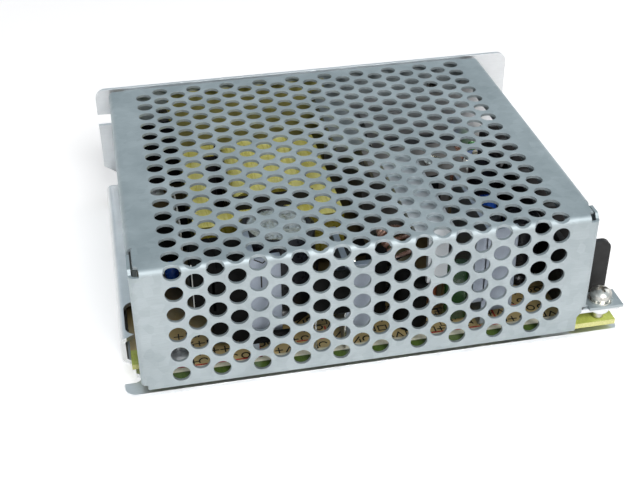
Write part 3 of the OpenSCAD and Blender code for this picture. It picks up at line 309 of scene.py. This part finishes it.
def board_laminate():
    """Tan laminate with a dark green margin along its near edge, then a cream stripe of painted light.

    The laminate has painted light near that edge, painted shade deeper in the case and yellow-green painted
    light at two corners.
    """
    s = Surface("board_laminate", coat=0.25)
    fibres = s.span(s.noise(2.6, 4, stretch=(1, 0.4, 1)), 0.3, 0.7)
    cloudy = s.span(s.noise(0.07, 3), 0.35, 0.65)
    x, y = s.axis("X"), s.axis("Y")
    tan = s.mix(cloudy, (0.40, 0.285, 0.11), (0.52, 0.38, 0.16))
    tan = s.mix(s.maths("MULTIPLY", fibres, 0.25), tan, (0.60, 0.47, 0.22))
    # Painted light: the laminate lighter near the near edge, fading deeper in.
    tan = s.mix(s.span(y, *PAINTED_LIGHT_FADE, 0.75, 0.0, smooth=True), tan, (0.72, 0.57, 0.27))
    # Painted shade: the laminate near black deeper in the case.
    tan = s.mix(s.span(y, *SHADE_FADE, 0.0, 0.85, smooth=True), tan, (0.035, 0.026, 0.012))
    green = s.mix(fibres, (0.050, 0.090, 0.014), (0.085, 0.135, 0.026))
    # Painted light: the cream stripe along the near edge, where the board is lit.
    cream = s.mix(fibres, (0.86, 0.82, 0.62), (0.93, 0.90, 0.74))
    # Painted light: yellow-green where the board is lit, at two corners.
    lit_green = s.mix(fibres, (0.42, 0.48, 0.08), (0.56, 0.62, 0.14))
    cut_edge = s.mix(fibres, (0.52, 0.52, 0.16), (0.70, 0.68, 0.30))
    right_lit = s.maths("MULTIPLY", s.span(x, *RIGHT_LIT), s.span(y, *RIGHT_LIT_END, 1.0, 0.0))
    left_lit = s.maths("MULTIPLY", s.span(x, *LEFT_LIT, 1.0, 0.0), s.span(y, *LEFT_LIT_END, 1.0, 0.0))
    face = s.mix(s.span(y, *LIT_STRIPE_END), cream, tan)
    face = s.mix(s.span(y, *MARGIN_END), green, face)
    face = s.mix(s.maths("MAXIMUM", right_lit, left_lit), face, lit_green)
    s.colour(s.mix(s.sides(), face, cut_edge))
    s.rough(s.span(fibres, 0, 1, 0.32, 0.5))
    s.bump(fibres, 0.03, 0.25)
    return s.material


# The material of each slot
SLOT_FINISH = {
    "galvanised_cover": sheet_metal(
        "cover_steel", (0.39, 0.435, 0.45), (0.47, 0.515, 0.53), rough=(0.56, 0.70)),
    "chassis_sheet": sheet_metal(
        "chassis_aluminium", (0.70, 0.71, 0.72), (0.82, 0.83, 0.84), LENGTHWISE, spangle=0.04),
    "heatsink_aluminium": sheet_metal(
        "heatsink_aluminium", (0.36, 0.40, 0.47), (0.46, 0.50, 0.57), UPRIGHT, (0.35, 0.5), spangle=0.03),
    "board": board_laminate(),
    "clear_film": plastic(
        "clear_film", (0.62, 0.62, 0.56), (0.78, 0.78, 0.72), (0.2, 0.35), coat=0.4, clear=0.35),
    "yellow_sheet": plastic("insulating_sheet", (0.24, 0.22, 0.07), (0.36, 0.33, 0.11), (0.4, 0.6)),
    "terminal_plastic": plastic(
        "terminal_plastic", (0.013, 0.012, 0.012), (0.024, 0.023, 0.023), (0.4, 0.55), specular=0.3),
    "tinned_brass": plated("tinned_brass", (0.50, 0.47, 0.38), (0.74, 0.71, 0.62), (0.25, 0.4)),
    "plated_steel": plated("plated_steel", (0.48, 0.46, 0.41), (0.76, 0.74, 0.69)),
    "ferrite": plastic(
        "ferrite", (0.025, 0.025, 0.028), (0.045, 0.045, 0.05), (0.5, 0.7), fine=9, specular=0.3),
    "yellow_tape": polyester_tape(),
    "black_plastic": plastic(
        "moulding_compound", (0.008, 0.008, 0.009), (0.018, 0.018, 0.02), (0.42, 0.6),
        fine=12, specular=0.25),
    "black_sleeve": plastic(
        "shrink_sleeve", (0.008, 0.008, 0.011), (0.016, 0.016, 0.022), (0.24, 0.38), coat=0.15, specular=0.3),
    "blue_sleeve": plastic("blue_sleeve", (0.010, 0.022, 0.085), (0.016, 0.035, 0.13), (0.2, 0.34), coat=0.3),
    "choke_powder": plastic("core_coating", (0.07, 0.06, 0.02), (0.12, 0.10, 0.035), (0.4, 0.6)),
    "copper_wire": copper_wire(),
    "blue_coating": plastic("blue_epoxy", (0.008, 0.05, 0.34), (0.02, 0.10, 0.50), (0.16, 0.3), coat=0.5),
    "green_coating": plastic(
        "green_epoxy", (0.012, 0.045, 0.012), (0.03, 0.085, 0.024), (0.16, 0.3), coat=0.5),
    "orange_coating": plastic(
        "orange_lacquer", (0.42, 0.12, 0.05), (0.60, 0.20, 0.09), (0.25, 0.4), coat=0.3),
    "grey_case": plastic("grey_case", (0.17, 0.175, 0.18), (0.24, 0.245, 0.25), (0.4, 0.55)),
    "fuse_ceramic": plastic("fuse_ceramic", (0.60, 0.60, 0.56), (0.74, 0.74, 0.70), (0.25, 0.4)),
    "trimmer_plastic": plastic("trimmer_plastic", (0.03, 0.10, 0.36), (0.05, 0.15, 0.45)),
    "rotor_plastic": plastic("rotor_plastic", (0.62, 0.58, 0.42), (0.76, 0.72, 0.56)),
    "lamp_resin": plastic(
        "lamp_resin", (0.08, 0.42, 0.08), (0.14, 0.55, 0.12), (0.12, 0.22), coat=0.5, clear=0.3),
}

# Finishes of the pieces that differ from the rest of their slot
deep_black = plastic(
    "deep_black", (0.003, 0.003, 0.003), (0.008, 0.008, 0.008), (0.55, 0.75), fine=10, specular=0.1)
ink = plastic("legend_ink", (0.012, 0.010, 0.010), (0.03, 0.025, 0.022), (0.5, 0.7), edge=0.0)
red_ink = plastic("red_legend_ink", (0.45, 0.04, 0.03), (0.60, 0.08, 0.05), (0.5, 0.7), edge=0.0)
bright_blue = plastic(
    "blue_capacitor_sleeve", (0.010, 0.06, 0.34), (0.016, 0.09, 0.48), (0.2, 0.34), coat=0.4)
shaded_wire = shaded_winding()
can_metal = can_aluminium()
OWN_FINISH = {
    "top_bracket": sheet_metal(
        "bracket_aluminium", (0.62, 0.64, 0.66), (0.76, 0.78, 0.80), LENGTHWISE, (0.45, 0.6), spangle=0.02),
    "output_heatsink": sheet_metal(
        "dull_aluminium", (0.22, 0.21, 0.20), (0.30, 0.285, 0.275), LENGTHWISE, (0.6, 0.75), 0.6, 0.02),
    "inlet_heatsink": sheet_metal(
        "grey_aluminium", (0.32, 0.33, 0.335), (0.42, 0.43, 0.435), CROSSWISE, (0.45, 0.6), spangle=0.03),
    "varistor": deep_black,
    "board_screws": plated("dull_zinc", (0.46, 0.47, 0.48), (0.58, 0.59, 0.60), (0.5, 0.65)),
    "ear_screw": plated("nickel", (0.40, 0.385, 0.35), (0.60, 0.58, 0.54), (0.34, 0.46)),
}

for sub in frame["record"]["subparts"]:
    node = nodes[sub["node"]]
    node.data.materials.clear()
    node.data.materials.append(OWN_FINISH.get(sub["node"], SLOT_FINISH[sub["material_slot"]]))


# ---------------------------------------------------------------- forms

INK_HEIGHT = 0.03
SCORE_DEPTH = 0.06


def piece(name, work, slot, material=None, body=CASE, smooth=False):
    """A finished form as a piece of the object, with its material, taken from its slot where none is given,
    and its body.
    """
    mesh = bpy.data.meshes.new(name)
    work.to_mesh(mesh)
    work.free()
    if smooth:
        mesh.polygons.foreach_set("use_smooth", [True] * len(mesh.polygons))
    obj = bpy.data.objects.new(name, mesh)
    bpy.context.scene.collection.objects.link(obj)
    mesh.materials.append(material or SLOT_FINISH[slot])
    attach(obj, body)
    return obj


def circle_points(x, y, radius, count, start=0.0, turn=math.tau):
    """Points along a circle or part of one."""
    angles = [start + turn * i / count for i in range(count)]
    return [(x + radius * math.cos(a), y + radius * math.sin(a)) for a in angles]


def ridge(work, ring, lift):
    """A thin raised area over a closed ring of points, without its hidden face."""
    low = [work.verts.new(p * MM) for p in ring]
    high = [work.verts.new((p + lift) * MM) for p in ring]
    work.faces.new(high)
    for k in range(len(ring)):
        j = (k + 1) % len(ring)
        work.faces.new((low[k], low[j], high[j], high[k]))


def ribbon(work, points, width, z, closed=False):
    """A printed line of that width along points on a level face, in millimetres."""
    count = len(points)
    for i in range(count if closed else count - 1):
        a, b = Vector(points[i]), Vector(points[(i + 1) % count])
        along = (b - a).normalized() * width / 2
        side = Vector((-along.y, along.x))
        corners = (a - along - side, b + along - side, b + along + side, a - along + side)
        ridge(work, [Vector((p.x, p.y, z)) for p in corners], Vector((0, 0, INK_HEIGHT)))


def scored_line(work, points, width, y):
    """A scored line on a face that looks towards -Y, from (x, z) points in millimetres."""
    for a, b in zip(points, points[1:]):
        a, b = Vector(a), Vector(b)
        along = (b - a).normalized()
        side = Vector((-along.y, along.x)) * width / 2
        corners = (a - side, b - side, b + side, a + side)
        ridge(work, [Vector((p.x, y, p.y)) for p in corners], Vector((0, -SCORE_DEPTH, 0)))
    bmesh.ops.recalc_face_normals(work, faces=work.faces)


def tube(work, path, radius, closed=False, sides=8):
    """A round wire of that radius along a path of points, in millimetres."""
    spots = [Vector(p) for p in path]
    count = len(spots)
    rings = []
    normal = None
    for i, spot in enumerate(spots):
        before = spots[(i - 1) % count] if closed or i else spot
        after = spots[(i + 1) % count] if closed or i < count - 1 else spot
        along = (after - before).normalized()
        if normal is None:
            normal = along.orthogonal().normalized()
        normal = (normal - along * normal.dot(along)).normalized()
        across = along.cross(normal)
        around = [normal * math.cos(math.tau * k / sides) + across * math.sin(math.tau * k / sides)
                  for k in range(sides)]
        rings.append([work.verts.new((spot + arm * radius) * MM) for arm in around])
    made = []
    for i in range(count if closed else count - 1):
        a, b = rings[i], rings[(i + 1) % count]
        shift = 0
        if closed and i == count - 1:
            shift = min(range(sides), key=lambda s: (a[0].co - b[s].co).length)
        for k in range(sides):
            ends = b[(k + 1 + shift) % sides], b[(k + shift) % sides]
            made.append(work.faces.new((a[k], a[(k + 1) % sides], *ends)))
    if not closed:
        made.append(work.faces.new(list(reversed(rings[0]))))
        made.append(work.faces.new(rings[-1]))
    bmesh.ops.recalc_face_normals(work, faces=made)


def level_ring(work, x, y, z, radius, sides):
    """A ring of points round an upright axis, or one point where the radius is 0."""
    if radius == 0:
        return [work.verts.new(Vector((x, y, z)) * MM)]
    return [work.verts.new(Vector((*p, z)) * MM) for p in circle_points(x, y, radius, sides)]


def revolved(work, x, y, profile, sides=40):
    """A turned form on an upright axis, from (radius, height) points in millimetres."""
    rings = [level_ring(work, x, y, z, radius, sides) for radius, z in profile]
    for a, b in zip(rings, rings[1:]):
        for k in range(sides):
            j = (k + 1) % sides
            if len(a) == 1:
                work.faces.new((a[0], b[k], b[j]))
            elif len(b) == 1:
                work.faces.new((a[k], a[j], b[0]))
            else:
                work.faces.new((b[k], b[j], a[j], a[k]))


def rounded_box(work, low, high, radius, segments=4):
    """A moulded box with rounded edges, between two corners in millimetres."""
    made = bmesh.ops.create_cube(work, size=1.0)
    low, high = Vector(low) * MM, Vector(high) * MM
    for vert in made["verts"]:
        vert.co = Vector([low[i] + (vert.co[i] + 0.5) * (high[i] - low[i]) for i in range(3)])
    edges = list({e for v in made["verts"] for e in v.link_edges})
    bmesh.ops.bevel(
        work, geom=edges, offset=radius * MM, segments=segments, profile=0.5, affect="EDGES")


# ---------------------------------------------------------------- printing on the board

BOARD_LOW, BOARD_HIGH = box_mm("pcb")
BOARD_TOP = BOARD_HIGH.z
OUTLINED = (
    "transformer_core", "bulk_capacitor", "choke_core", "film_capacitor", "output_capacitor_1",
    "output_capacitor_2", "output_capacitor_3", "control_capacitor", "upright_resistor", "x_capacitor",
    "filter_core", "optocoupler", "varistor", "disc_capacitor", "inlet_thermistor", "fuse_tube")
OUTLINE_GAP, OUTLINE_W = 0.9, 0.25
STROKE_ROWS = (-42.1, -38.6, -35.0, -31.2)
STROKE_W = 0.38
STROKE_START, STROKE_END = 4, 14
STROKE_KINDS = 6
# Paths of the red lines with their widths
RED_LINES = (
    (((-57, -43.4), (-30, -43.4), (-30, -37.5), (-34, -37.5)), 0.5),
    (((14, -43.3), (33, -43.3), (33, -36.5), (40, -36.5)), 0.5),
    (((-20, -39.5), (-12, -39.5), (-12, -35)), 0.45))
RED_LIFT = 0.005


def frame_points(x0, y0, x1, y1):
    return [(x0, y0), (x1, y0), (x1, y1), (x0, y1)]


def generic_stroke(kind, x, y, wide, tall):
    """One of six plain marks that stand for nothing: its paths, and whether each is closed."""
    left, right, low, high = x - wide, x + wide, y - tall, y + tall
    marks = (
        [(circle_points(x, y, tall, 16), True)],
        [([(left, y), (right, y)], False), ([(x, low), (x, high)], False)],
        [([(left, low), (x, high), (right, low)], False)],
        [(frame_points(left, low, right, high), True)],
        [(circle_points(x, y, tall, 9, start=0.5, turn=math.pi * 1.1), False)],
        [([(left, low), (right, high)], False), ([(right, low), (right, y)], False)],
    )
    return marks[kind]


def board_legend():
    """Outlines round the parts on the board, and rows of generic strokes along its near edge."""
    work = bmesh.new()
    for name in OUTLINED:
        low, high = box_mm(name)
        corners = frame_points(
            low.x - OUTLINE_GAP, low.y - OUTLINE_GAP, high.x + OUTLINE_GAP, high.y + OUTLINE_GAP)
        ribbon(work, corners, OUTLINE_W, BOARD_TOP, closed=True)
    for row in STROKE_ROWS:
        x = BOARD_LOW.x + STROKE_START
        while x < BOARD_HIGH.x - STROKE_END:
            kind = dice.randrange(STROKE_KINDS)
            wide, tall = dice.uniform(0.8, 1.2), dice.uniform(0.8, 1.1)
            for points, closed in generic_stroke(kind, x, row, wide, tall):
                ribbon(work, points, STROKE_W, BOARD_TOP, closed)
            x += dice.uniform(2.5, 3.3)
    piece("board_legend", work, "board", ink)


def board_red_lines():
    work = bmesh.new()
    for path, width in RED_LINES:
        ribbon(work, path, width, BOARD_TOP + RED_LIFT)
    piece("board_red_lines", work, "board", red_ink)


board_legend()
board_red_lines()


# ---------------------------------------------------------------- choke and capacitor tops

TURNS = 24
TURN_POINTS = 20
BORE_SHARE = 0.27 / 0.43
TURN_LEAN = 0.12
TURN_SQUARENESS = 4
WIRE_SHARE = 0.95


def choke_turns():
    """Single turns of wire round the output choke, in place of its plain winding."""
    low, high = box_mm("choke_core")
    mid = (low + high) / 2
    outer = (high.y - low.y) / 2
    inner = outer * BORE_SHARE
    wire = (box_mm("choke_winding")[1].z - high.z) / 2
    reach_x = (high.x - low.x) / 2 + wire
    reach_r = (outer - inner) / 2 + wire
    work = bmesh.new()
    for i in range(TURNS):
        loop = []
        for k in range(TURN_POINTS):
            c, s = math.cos(math.tau * k / TURN_POINTS), math.sin(math.tau * k / TURN_POINTS)
            square = (abs(c) ** TURN_SQUARENESS + abs(s) ** TURN_SQUARENESS) ** (-1 / TURN_SQUARENESS)
            angle = math.tau * i / TURNS + TURN_LEAN * c
            r = (outer + inner) / 2 + s * square * reach_r
            x = mid.x + c * square * reach_x
            loop.append((x, mid.y + r * math.sin(angle), mid.z + r * math.cos(angle)))
        tube(work, loop, wire * WIRE_SHARE, closed=True)
    return piece("choke_turns", work, "copper_wire", shaded_wire, smooth=True)


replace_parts(choke_turns(), "choke_winding")

# A pressed can's top: shares of the can's radius, with heights above the rim in millimetres
CAN_PROFILE = ((0.0, -0.55), (0.45, -0.55), (0.72, -0.45), (0.80, -0.15), (0.86, -0.42))
CANS = (
    "bulk_capacitor", "output_capacitor_1", "output_capacitor_2", "output_capacitor_3",
    "control_capacitor")


def can_top(can):
    low, high = box_mm(can)
    centre = (low + high) / 2
    radius = (high.x - low.x) / 2
    work = bmesh.new()
    profile = [(share * radius, high.z + lift) for share, lift in CAN_PROFILE]
    revolved(work, centre.x, centre.y, profile, sides=48)
    piece(can + "_top", work, "heatsink_aluminium", can_metal, smooth=True)


for can in CANS:
    can_top(can)


# ---------------------------------------------------------------- parts that show through the holes


def upright_part(name, x, y, profile, slot, material):
    """A turned part that stands on the board."""
    work = bmesh.new()
    revolved(work, x, y, [(radius, BOARD_TOP + z) for radius, z in profile])
    bmesh.ops.recalc_face_normals(work, faces=work.faces)
    piece(name, work, slot, material, smooth=True)


def capacitor_profile(radius, height, edge, bead_z, dent):
    """A sleeved can with a bead near its foot and a rim round its top."""
    lip = 0.1
    return [
        (0, 0), (radius - edge, 0), (radius, edge), (radius, bead_z), (radius - dent, bead_z + edge),
        (radius, bead_z + 2 * edge), (radius, height - edge), (radius - edge, height),
        (radius - 2 * edge, height), (radius - 2 * edge - lip, height - dent), (0, height - dent)]


def switch_cap():
    """Black insulating cap over the switch transistor, with a wider shoulder at its top left.

    A strip of painted highlight runs down the shoulder's near left edge.
    """
    low, high = box_mm("switch_transistor")
    sink_x = box_mm("switch_heatsink")[0].x
    left, back, foot, over, gap, edge = 4.8, 1.5, 4.5, 1.2, 0.05, 0.6
    reach, front, drop, rise, short_x, short_y = 8.9, 1.0, 11.5, 3.4, 3.0, 2.0
    corner = Vector((low.x - reach, low.y - front, high.z - drop))
    work = bmesh.new()
    rounded_box(work, (low.x - left, corner.y, BOARD_TOP + foot),
                (sink_x - gap, high.y + back, high.z + over), edge)
    rounded_box(work, corner, (low.x - short_x, high.y - short_y, high.z + rise), edge)
    piece("switch_cap", work, "black_plastic", deep_black, smooth=True)
    # Painted highlight: a pale strip down the near left edge of the shoulder.
    work = bmesh.new()
    rounded_box(work, corner - Vector((0.1, 0.15, 0)),
                (corner.x + 0.18, corner.y + 0.2, high.z + rise), 0.05, 2)
    piece("cap_edge_highlight", work, "fuse_ceramic")


def flange_pad():
    """Black pad under the front flange of the switch's heatsink."""
    low, high = box_mm("switch_heatsink")
    past_left, past_right, thick, gap = 0.4, 1.8, 1.7, 0.02
    work = bmesh.new()
    rounded_box(work, (low.x - past_left, low.y - thick, BOARD_TOP + 5.4),
                (high.x + past_right, low.y - gap, BOARD_TOP + 8.0), 0.4)
    piece("flange_pad", work, "black_plastic", deep_black, smooth=True)


def film_block():
    """Black moulded capacitor on long leads, before the snubber's heatsink."""
    at = box_mm("snubber_heatsink")[0]
    left, right, front, back, foot, top = 8.7, 1.1, 1.9, 0.2, 11.6, 24
    work = bmesh.new()
    rounded_box(work, (at.x - left, at.y - front, BOARD_TOP + foot),
                (at.x + right, at.y - back, BOARD_TOP + top), 0.4)
    piece("film_block", work, "black_plastic", deep_black, smooth=True)
    middle, lead_half, lead_y, lead_r, lead_h = 3.8, 3.75, 1.0, 0.3, 12
    work = bmesh.new()
    for off in (-lead_half, lead_half):
        ends = [(at.x - middle + off, at.y - lead_y, z) for z in (BOARD_TOP, BOARD_TOP + lead_h)]
        tube(work, ends, lead_r, sides=6)
    piece("film_block_leads", work, "plated_steel", smooth=True)


def rectifier_flange():
    """Narrow sheet before the rectifier's heatsink."""
    at = box_mm("rectifier_heatsink")[0]
    reach, lap, thick, foot, top = 2.7, 0.6, 0.9, 8, 28
    work = bmesh.new()
    rounded_box(work, (at.x - reach, at.y, BOARD_TOP + foot),
                (at.x + lap, at.y + thick, BOARD_TOP + top), 0.25, 2)
    piece("rectifier_flange", work, "heatsink_aluminium")


def end_shade_sheet():
    """Black sheets of painted shade on the board and against the far wall, left of the transformer."""
    x0 = box_mm("chassis")[0].x + 4.5
    core_x = box_mm("transformer_core")[0].x
    wall_y = box_mm("wall_insulator")[0].y
    shade_y, shade_t, wall_shade_z = (8, 33), (0.03, 0.3), (BOARD_TOP + 0.4, 26.5)
    # Painted shade: thin black sheets on the board and on the far wall, in the corner left of the
    # transformer.
    work = bmesh.new()
    rounded_box(work, (x0, shade_y[0], BOARD_TOP + shade_t[0]),
                (core_x + 0.4, shade_y[1], BOARD_TOP + shade_t[1]), 0.08, 2)
    rounded_box(work, (x0, wall_y - 0.45, wall_shade_z[0]),
                (core_x + 0.5, wall_y - 0.1, wall_shade_z[1]), 0.08, 2)
    piece("end_shade_sheet", work, "black_plastic", deep_black)


def blue_capacitor():
    """Small blue capacitor beside the upright sheet, before the varistor."""
    radius, sheet_gap, disc_gap = 1.9, 2.4, 0.9
    x = box_mm("barrier_sheet")[0].x - sheet_gap
    y = box_mm("varistor")[0].y - radius - disc_gap
    profile = capacitor_profile(radius, 7.0, 0.3, 0.9, 0.2)
    upright_part("blue_capacitor", x, y, profile, "blue_sleeve", bright_blue)


def drum_choke():
    """Drum choke in black shrink sleeve, below the bracket's leg."""
    radius, height, gap, waist, bore = 4.4, 15, 0.6, 0.25, 0.9
    y = box_mm("choke_core")[0].y - radius - gap
    profile = [
        (0, 0), (radius - 0.5, 0), (radius, 0.6), (radius, 2.6), (radius - waist, 3.4),
        (radius - waist, height - 3.4), (radius, height - 2.6), (radius, height - 0.8),
        (radius - 0.7, height), (1.2, height - 0.2), (bore, height - 0.9), (0, height - 0.9)]
    upright_part("drum_choke", 10.3, y, profile, "black_sleeve", deep_black)


def slim_capacitor():
    """Slim black capacitor beside the drum choke."""
    profile = capacitor_profile(2.7, 21, 0.4, 1.4, 0.3)
    upright_part("slim_capacitor", 2.1, -33.0, profile, "black_sleeve", deep_black)


def heatsink_marks():
    """A scored line and a small V on the front flange of the switch's heatsink."""
    low, high = box_mm("switch_heatsink")
    line = [(low.x + 2.8, high.z - 8.6), (low.x + 2.8, high.z - 3.8)]
    notch = [(low.x + 1.2, high.z - 0.2), (low.x + 3.3, high.z - 1.5), (low.x + 4.6, high.z - 0.3)]
    work = bmesh.new()
    scored_line(work, line, 0.35, low.y)
    scored_line(work, notch, 0.3, low.y)
    piece("heatsink_marks", work, "black_plastic", ink)


switch_cap()
flange_pad()
film_block()
rectifier_flange()
end_shade_sheet()
blue_capacitor()
drum_choke()
slim_capacitor()
heatsink_marks()


# ---------------------------------------------------------------- floor and light

FLOOR_HALF = 1.5
FLOOR_COLOUR = (0.9, 0.9, 0.9, 1)
FLOOR_ROUGH = 0.9
FLOOR_LIFT = 0.34
WHITE = (1, 1, 1, 1)
ROOM_LIGHT = (0.27, 0.275, 0.285, 1)
CEILING = (0.48, 0.58, 0.635, 1)
CEILING_FADE = (0.05, 0.5)
LAMPS_AIM = (0, 0, 0.02)
# Place and width of each lamp in metres, and its power in watts
LAMPS = {
    "key": ((0.14, -0.74, 0.72), 0.45, 8.2),
    "fill": ((-0.75, -0.35, 0.45), 0.5, 1.6),
    "side": ((0.85, 0.25, 0.5), 0.5, 1.4),
}


def seen_rays(tree):
    """1 for rays from the camera, from gloss and through glass, and 0 for the rest."""
    path = tree.nodes.new("ShaderNodeLightPath")
    total = path.outputs["Is Camera Ray"]
    for key in ("Is Glossy Ray", "Is Transmission Ray"):
        node = tree.nodes.new("ShaderNodeMath")
        node.operation = "MAXIMUM"
        tree.links.new(total, node.inputs[0])
        tree.links.new(path.outputs[key], node.inputs[1])
        total = node.outputs[0]
    return total


def floor_material():
    material = bpy.data.materials.new("floor")
    material.use_nodes = True
    tree = material.node_tree
    shader = tree.nodes["Principled BSDF"]
    shader.inputs["Base Color"].default_value = FLOOR_COLOUR
    shader.inputs["Roughness"].default_value = FLOOR_ROUGH
    lift = tree.nodes.new("ShaderNodeMath")
    lift.operation = "MULTIPLY"
    lift.inputs[1].default_value = FLOOR_LIFT
    tree.links.new(seen_rays(tree), lift.inputs[0])
    shader.inputs["Emission Color"].default_value = WHITE
    tree.links.new(lift.outputs[0], shader.inputs["Emission Strength"])
    return material


def add_floor():
    mesh = bpy.data.meshes.new("floor")
    corners = frame_points(-FLOOR_HALF, -FLOOR_HALF, FLOOR_HALF, FLOOR_HALF)
    mesh.from_pydata([(x, y, 0) for x, y in corners], [], [(0, 1, 2, 3)])
    floor = bpy.data.objects.new("floor", mesh)
    bpy.context.scene.collection.objects.link(floor)
    mesh.materials.append(floor_material())


def colour_mix(tree, factor, a, b):
    """A mix of two colours, each a plain value or a node's output."""
    node = tree.nodes.new("ShaderNodeMix")
    node.data_type = "RGBA"
    tree.links.new(factor, node.inputs[Surface.MIX_FACTOR])
    for value, target in ((a, node.inputs[Surface.MIX_A]), (b, node.inputs[Surface.MIX_B])):
        if isinstance(value, bpy.types.NodeSocket):
            tree.links.new(value, target)
        else:
            target.default_value = value
    return node.outputs[Surface.MIX_OUT]


def add_room():
    """White walls and a grey ceiling for what is seen, and a dimmer room for the light."""
    world = bpy.data.worlds.new("studio")
    bpy.context.scene.world = world
    world.use_nodes = True
    tree = world.node_tree
    split = tree.nodes.new("ShaderNodeSeparateXYZ")
    tree.links.new(tree.nodes.new("ShaderNodeTexCoord").outputs["Generated"], split.inputs[0])
    fade = tree.nodes.new("ShaderNodeMapRange")
    fade.inputs["From Min"].default_value, fade.inputs["From Max"].default_value = CEILING_FADE
    tree.links.new(split.outputs["Z"], fade.inputs["Value"])
    seen = colour_mix(tree, fade.outputs["Result"], WHITE, CEILING)
    picked = colour_mix(tree, seen_rays(tree), ROOM_LIGHT, seen)
    tree.links.new(picked, tree.nodes["Background"].inputs["Color"])


def add_lamp(name, place, size, power):
    data = bpy.data.lights.new(name, "AREA")
    data.shape = "DISK"
    data.size = size
    data.energy = power
    lamp = bpy.data.objects.new(name, data)
    bpy.context.scene.collection.objects.link(lamp)
    lamp.location = place
    lamp.rotation_mode = "QUATERNION"
    lamp.rotation_quaternion = (Vector(LAMPS_AIM) - Vector(place)).to_track_quat("-Z", "Y")


add_floor()
add_room()
for name, (place, size, power) in LAMPS.items():
    add_lamp(name, place, size, power)
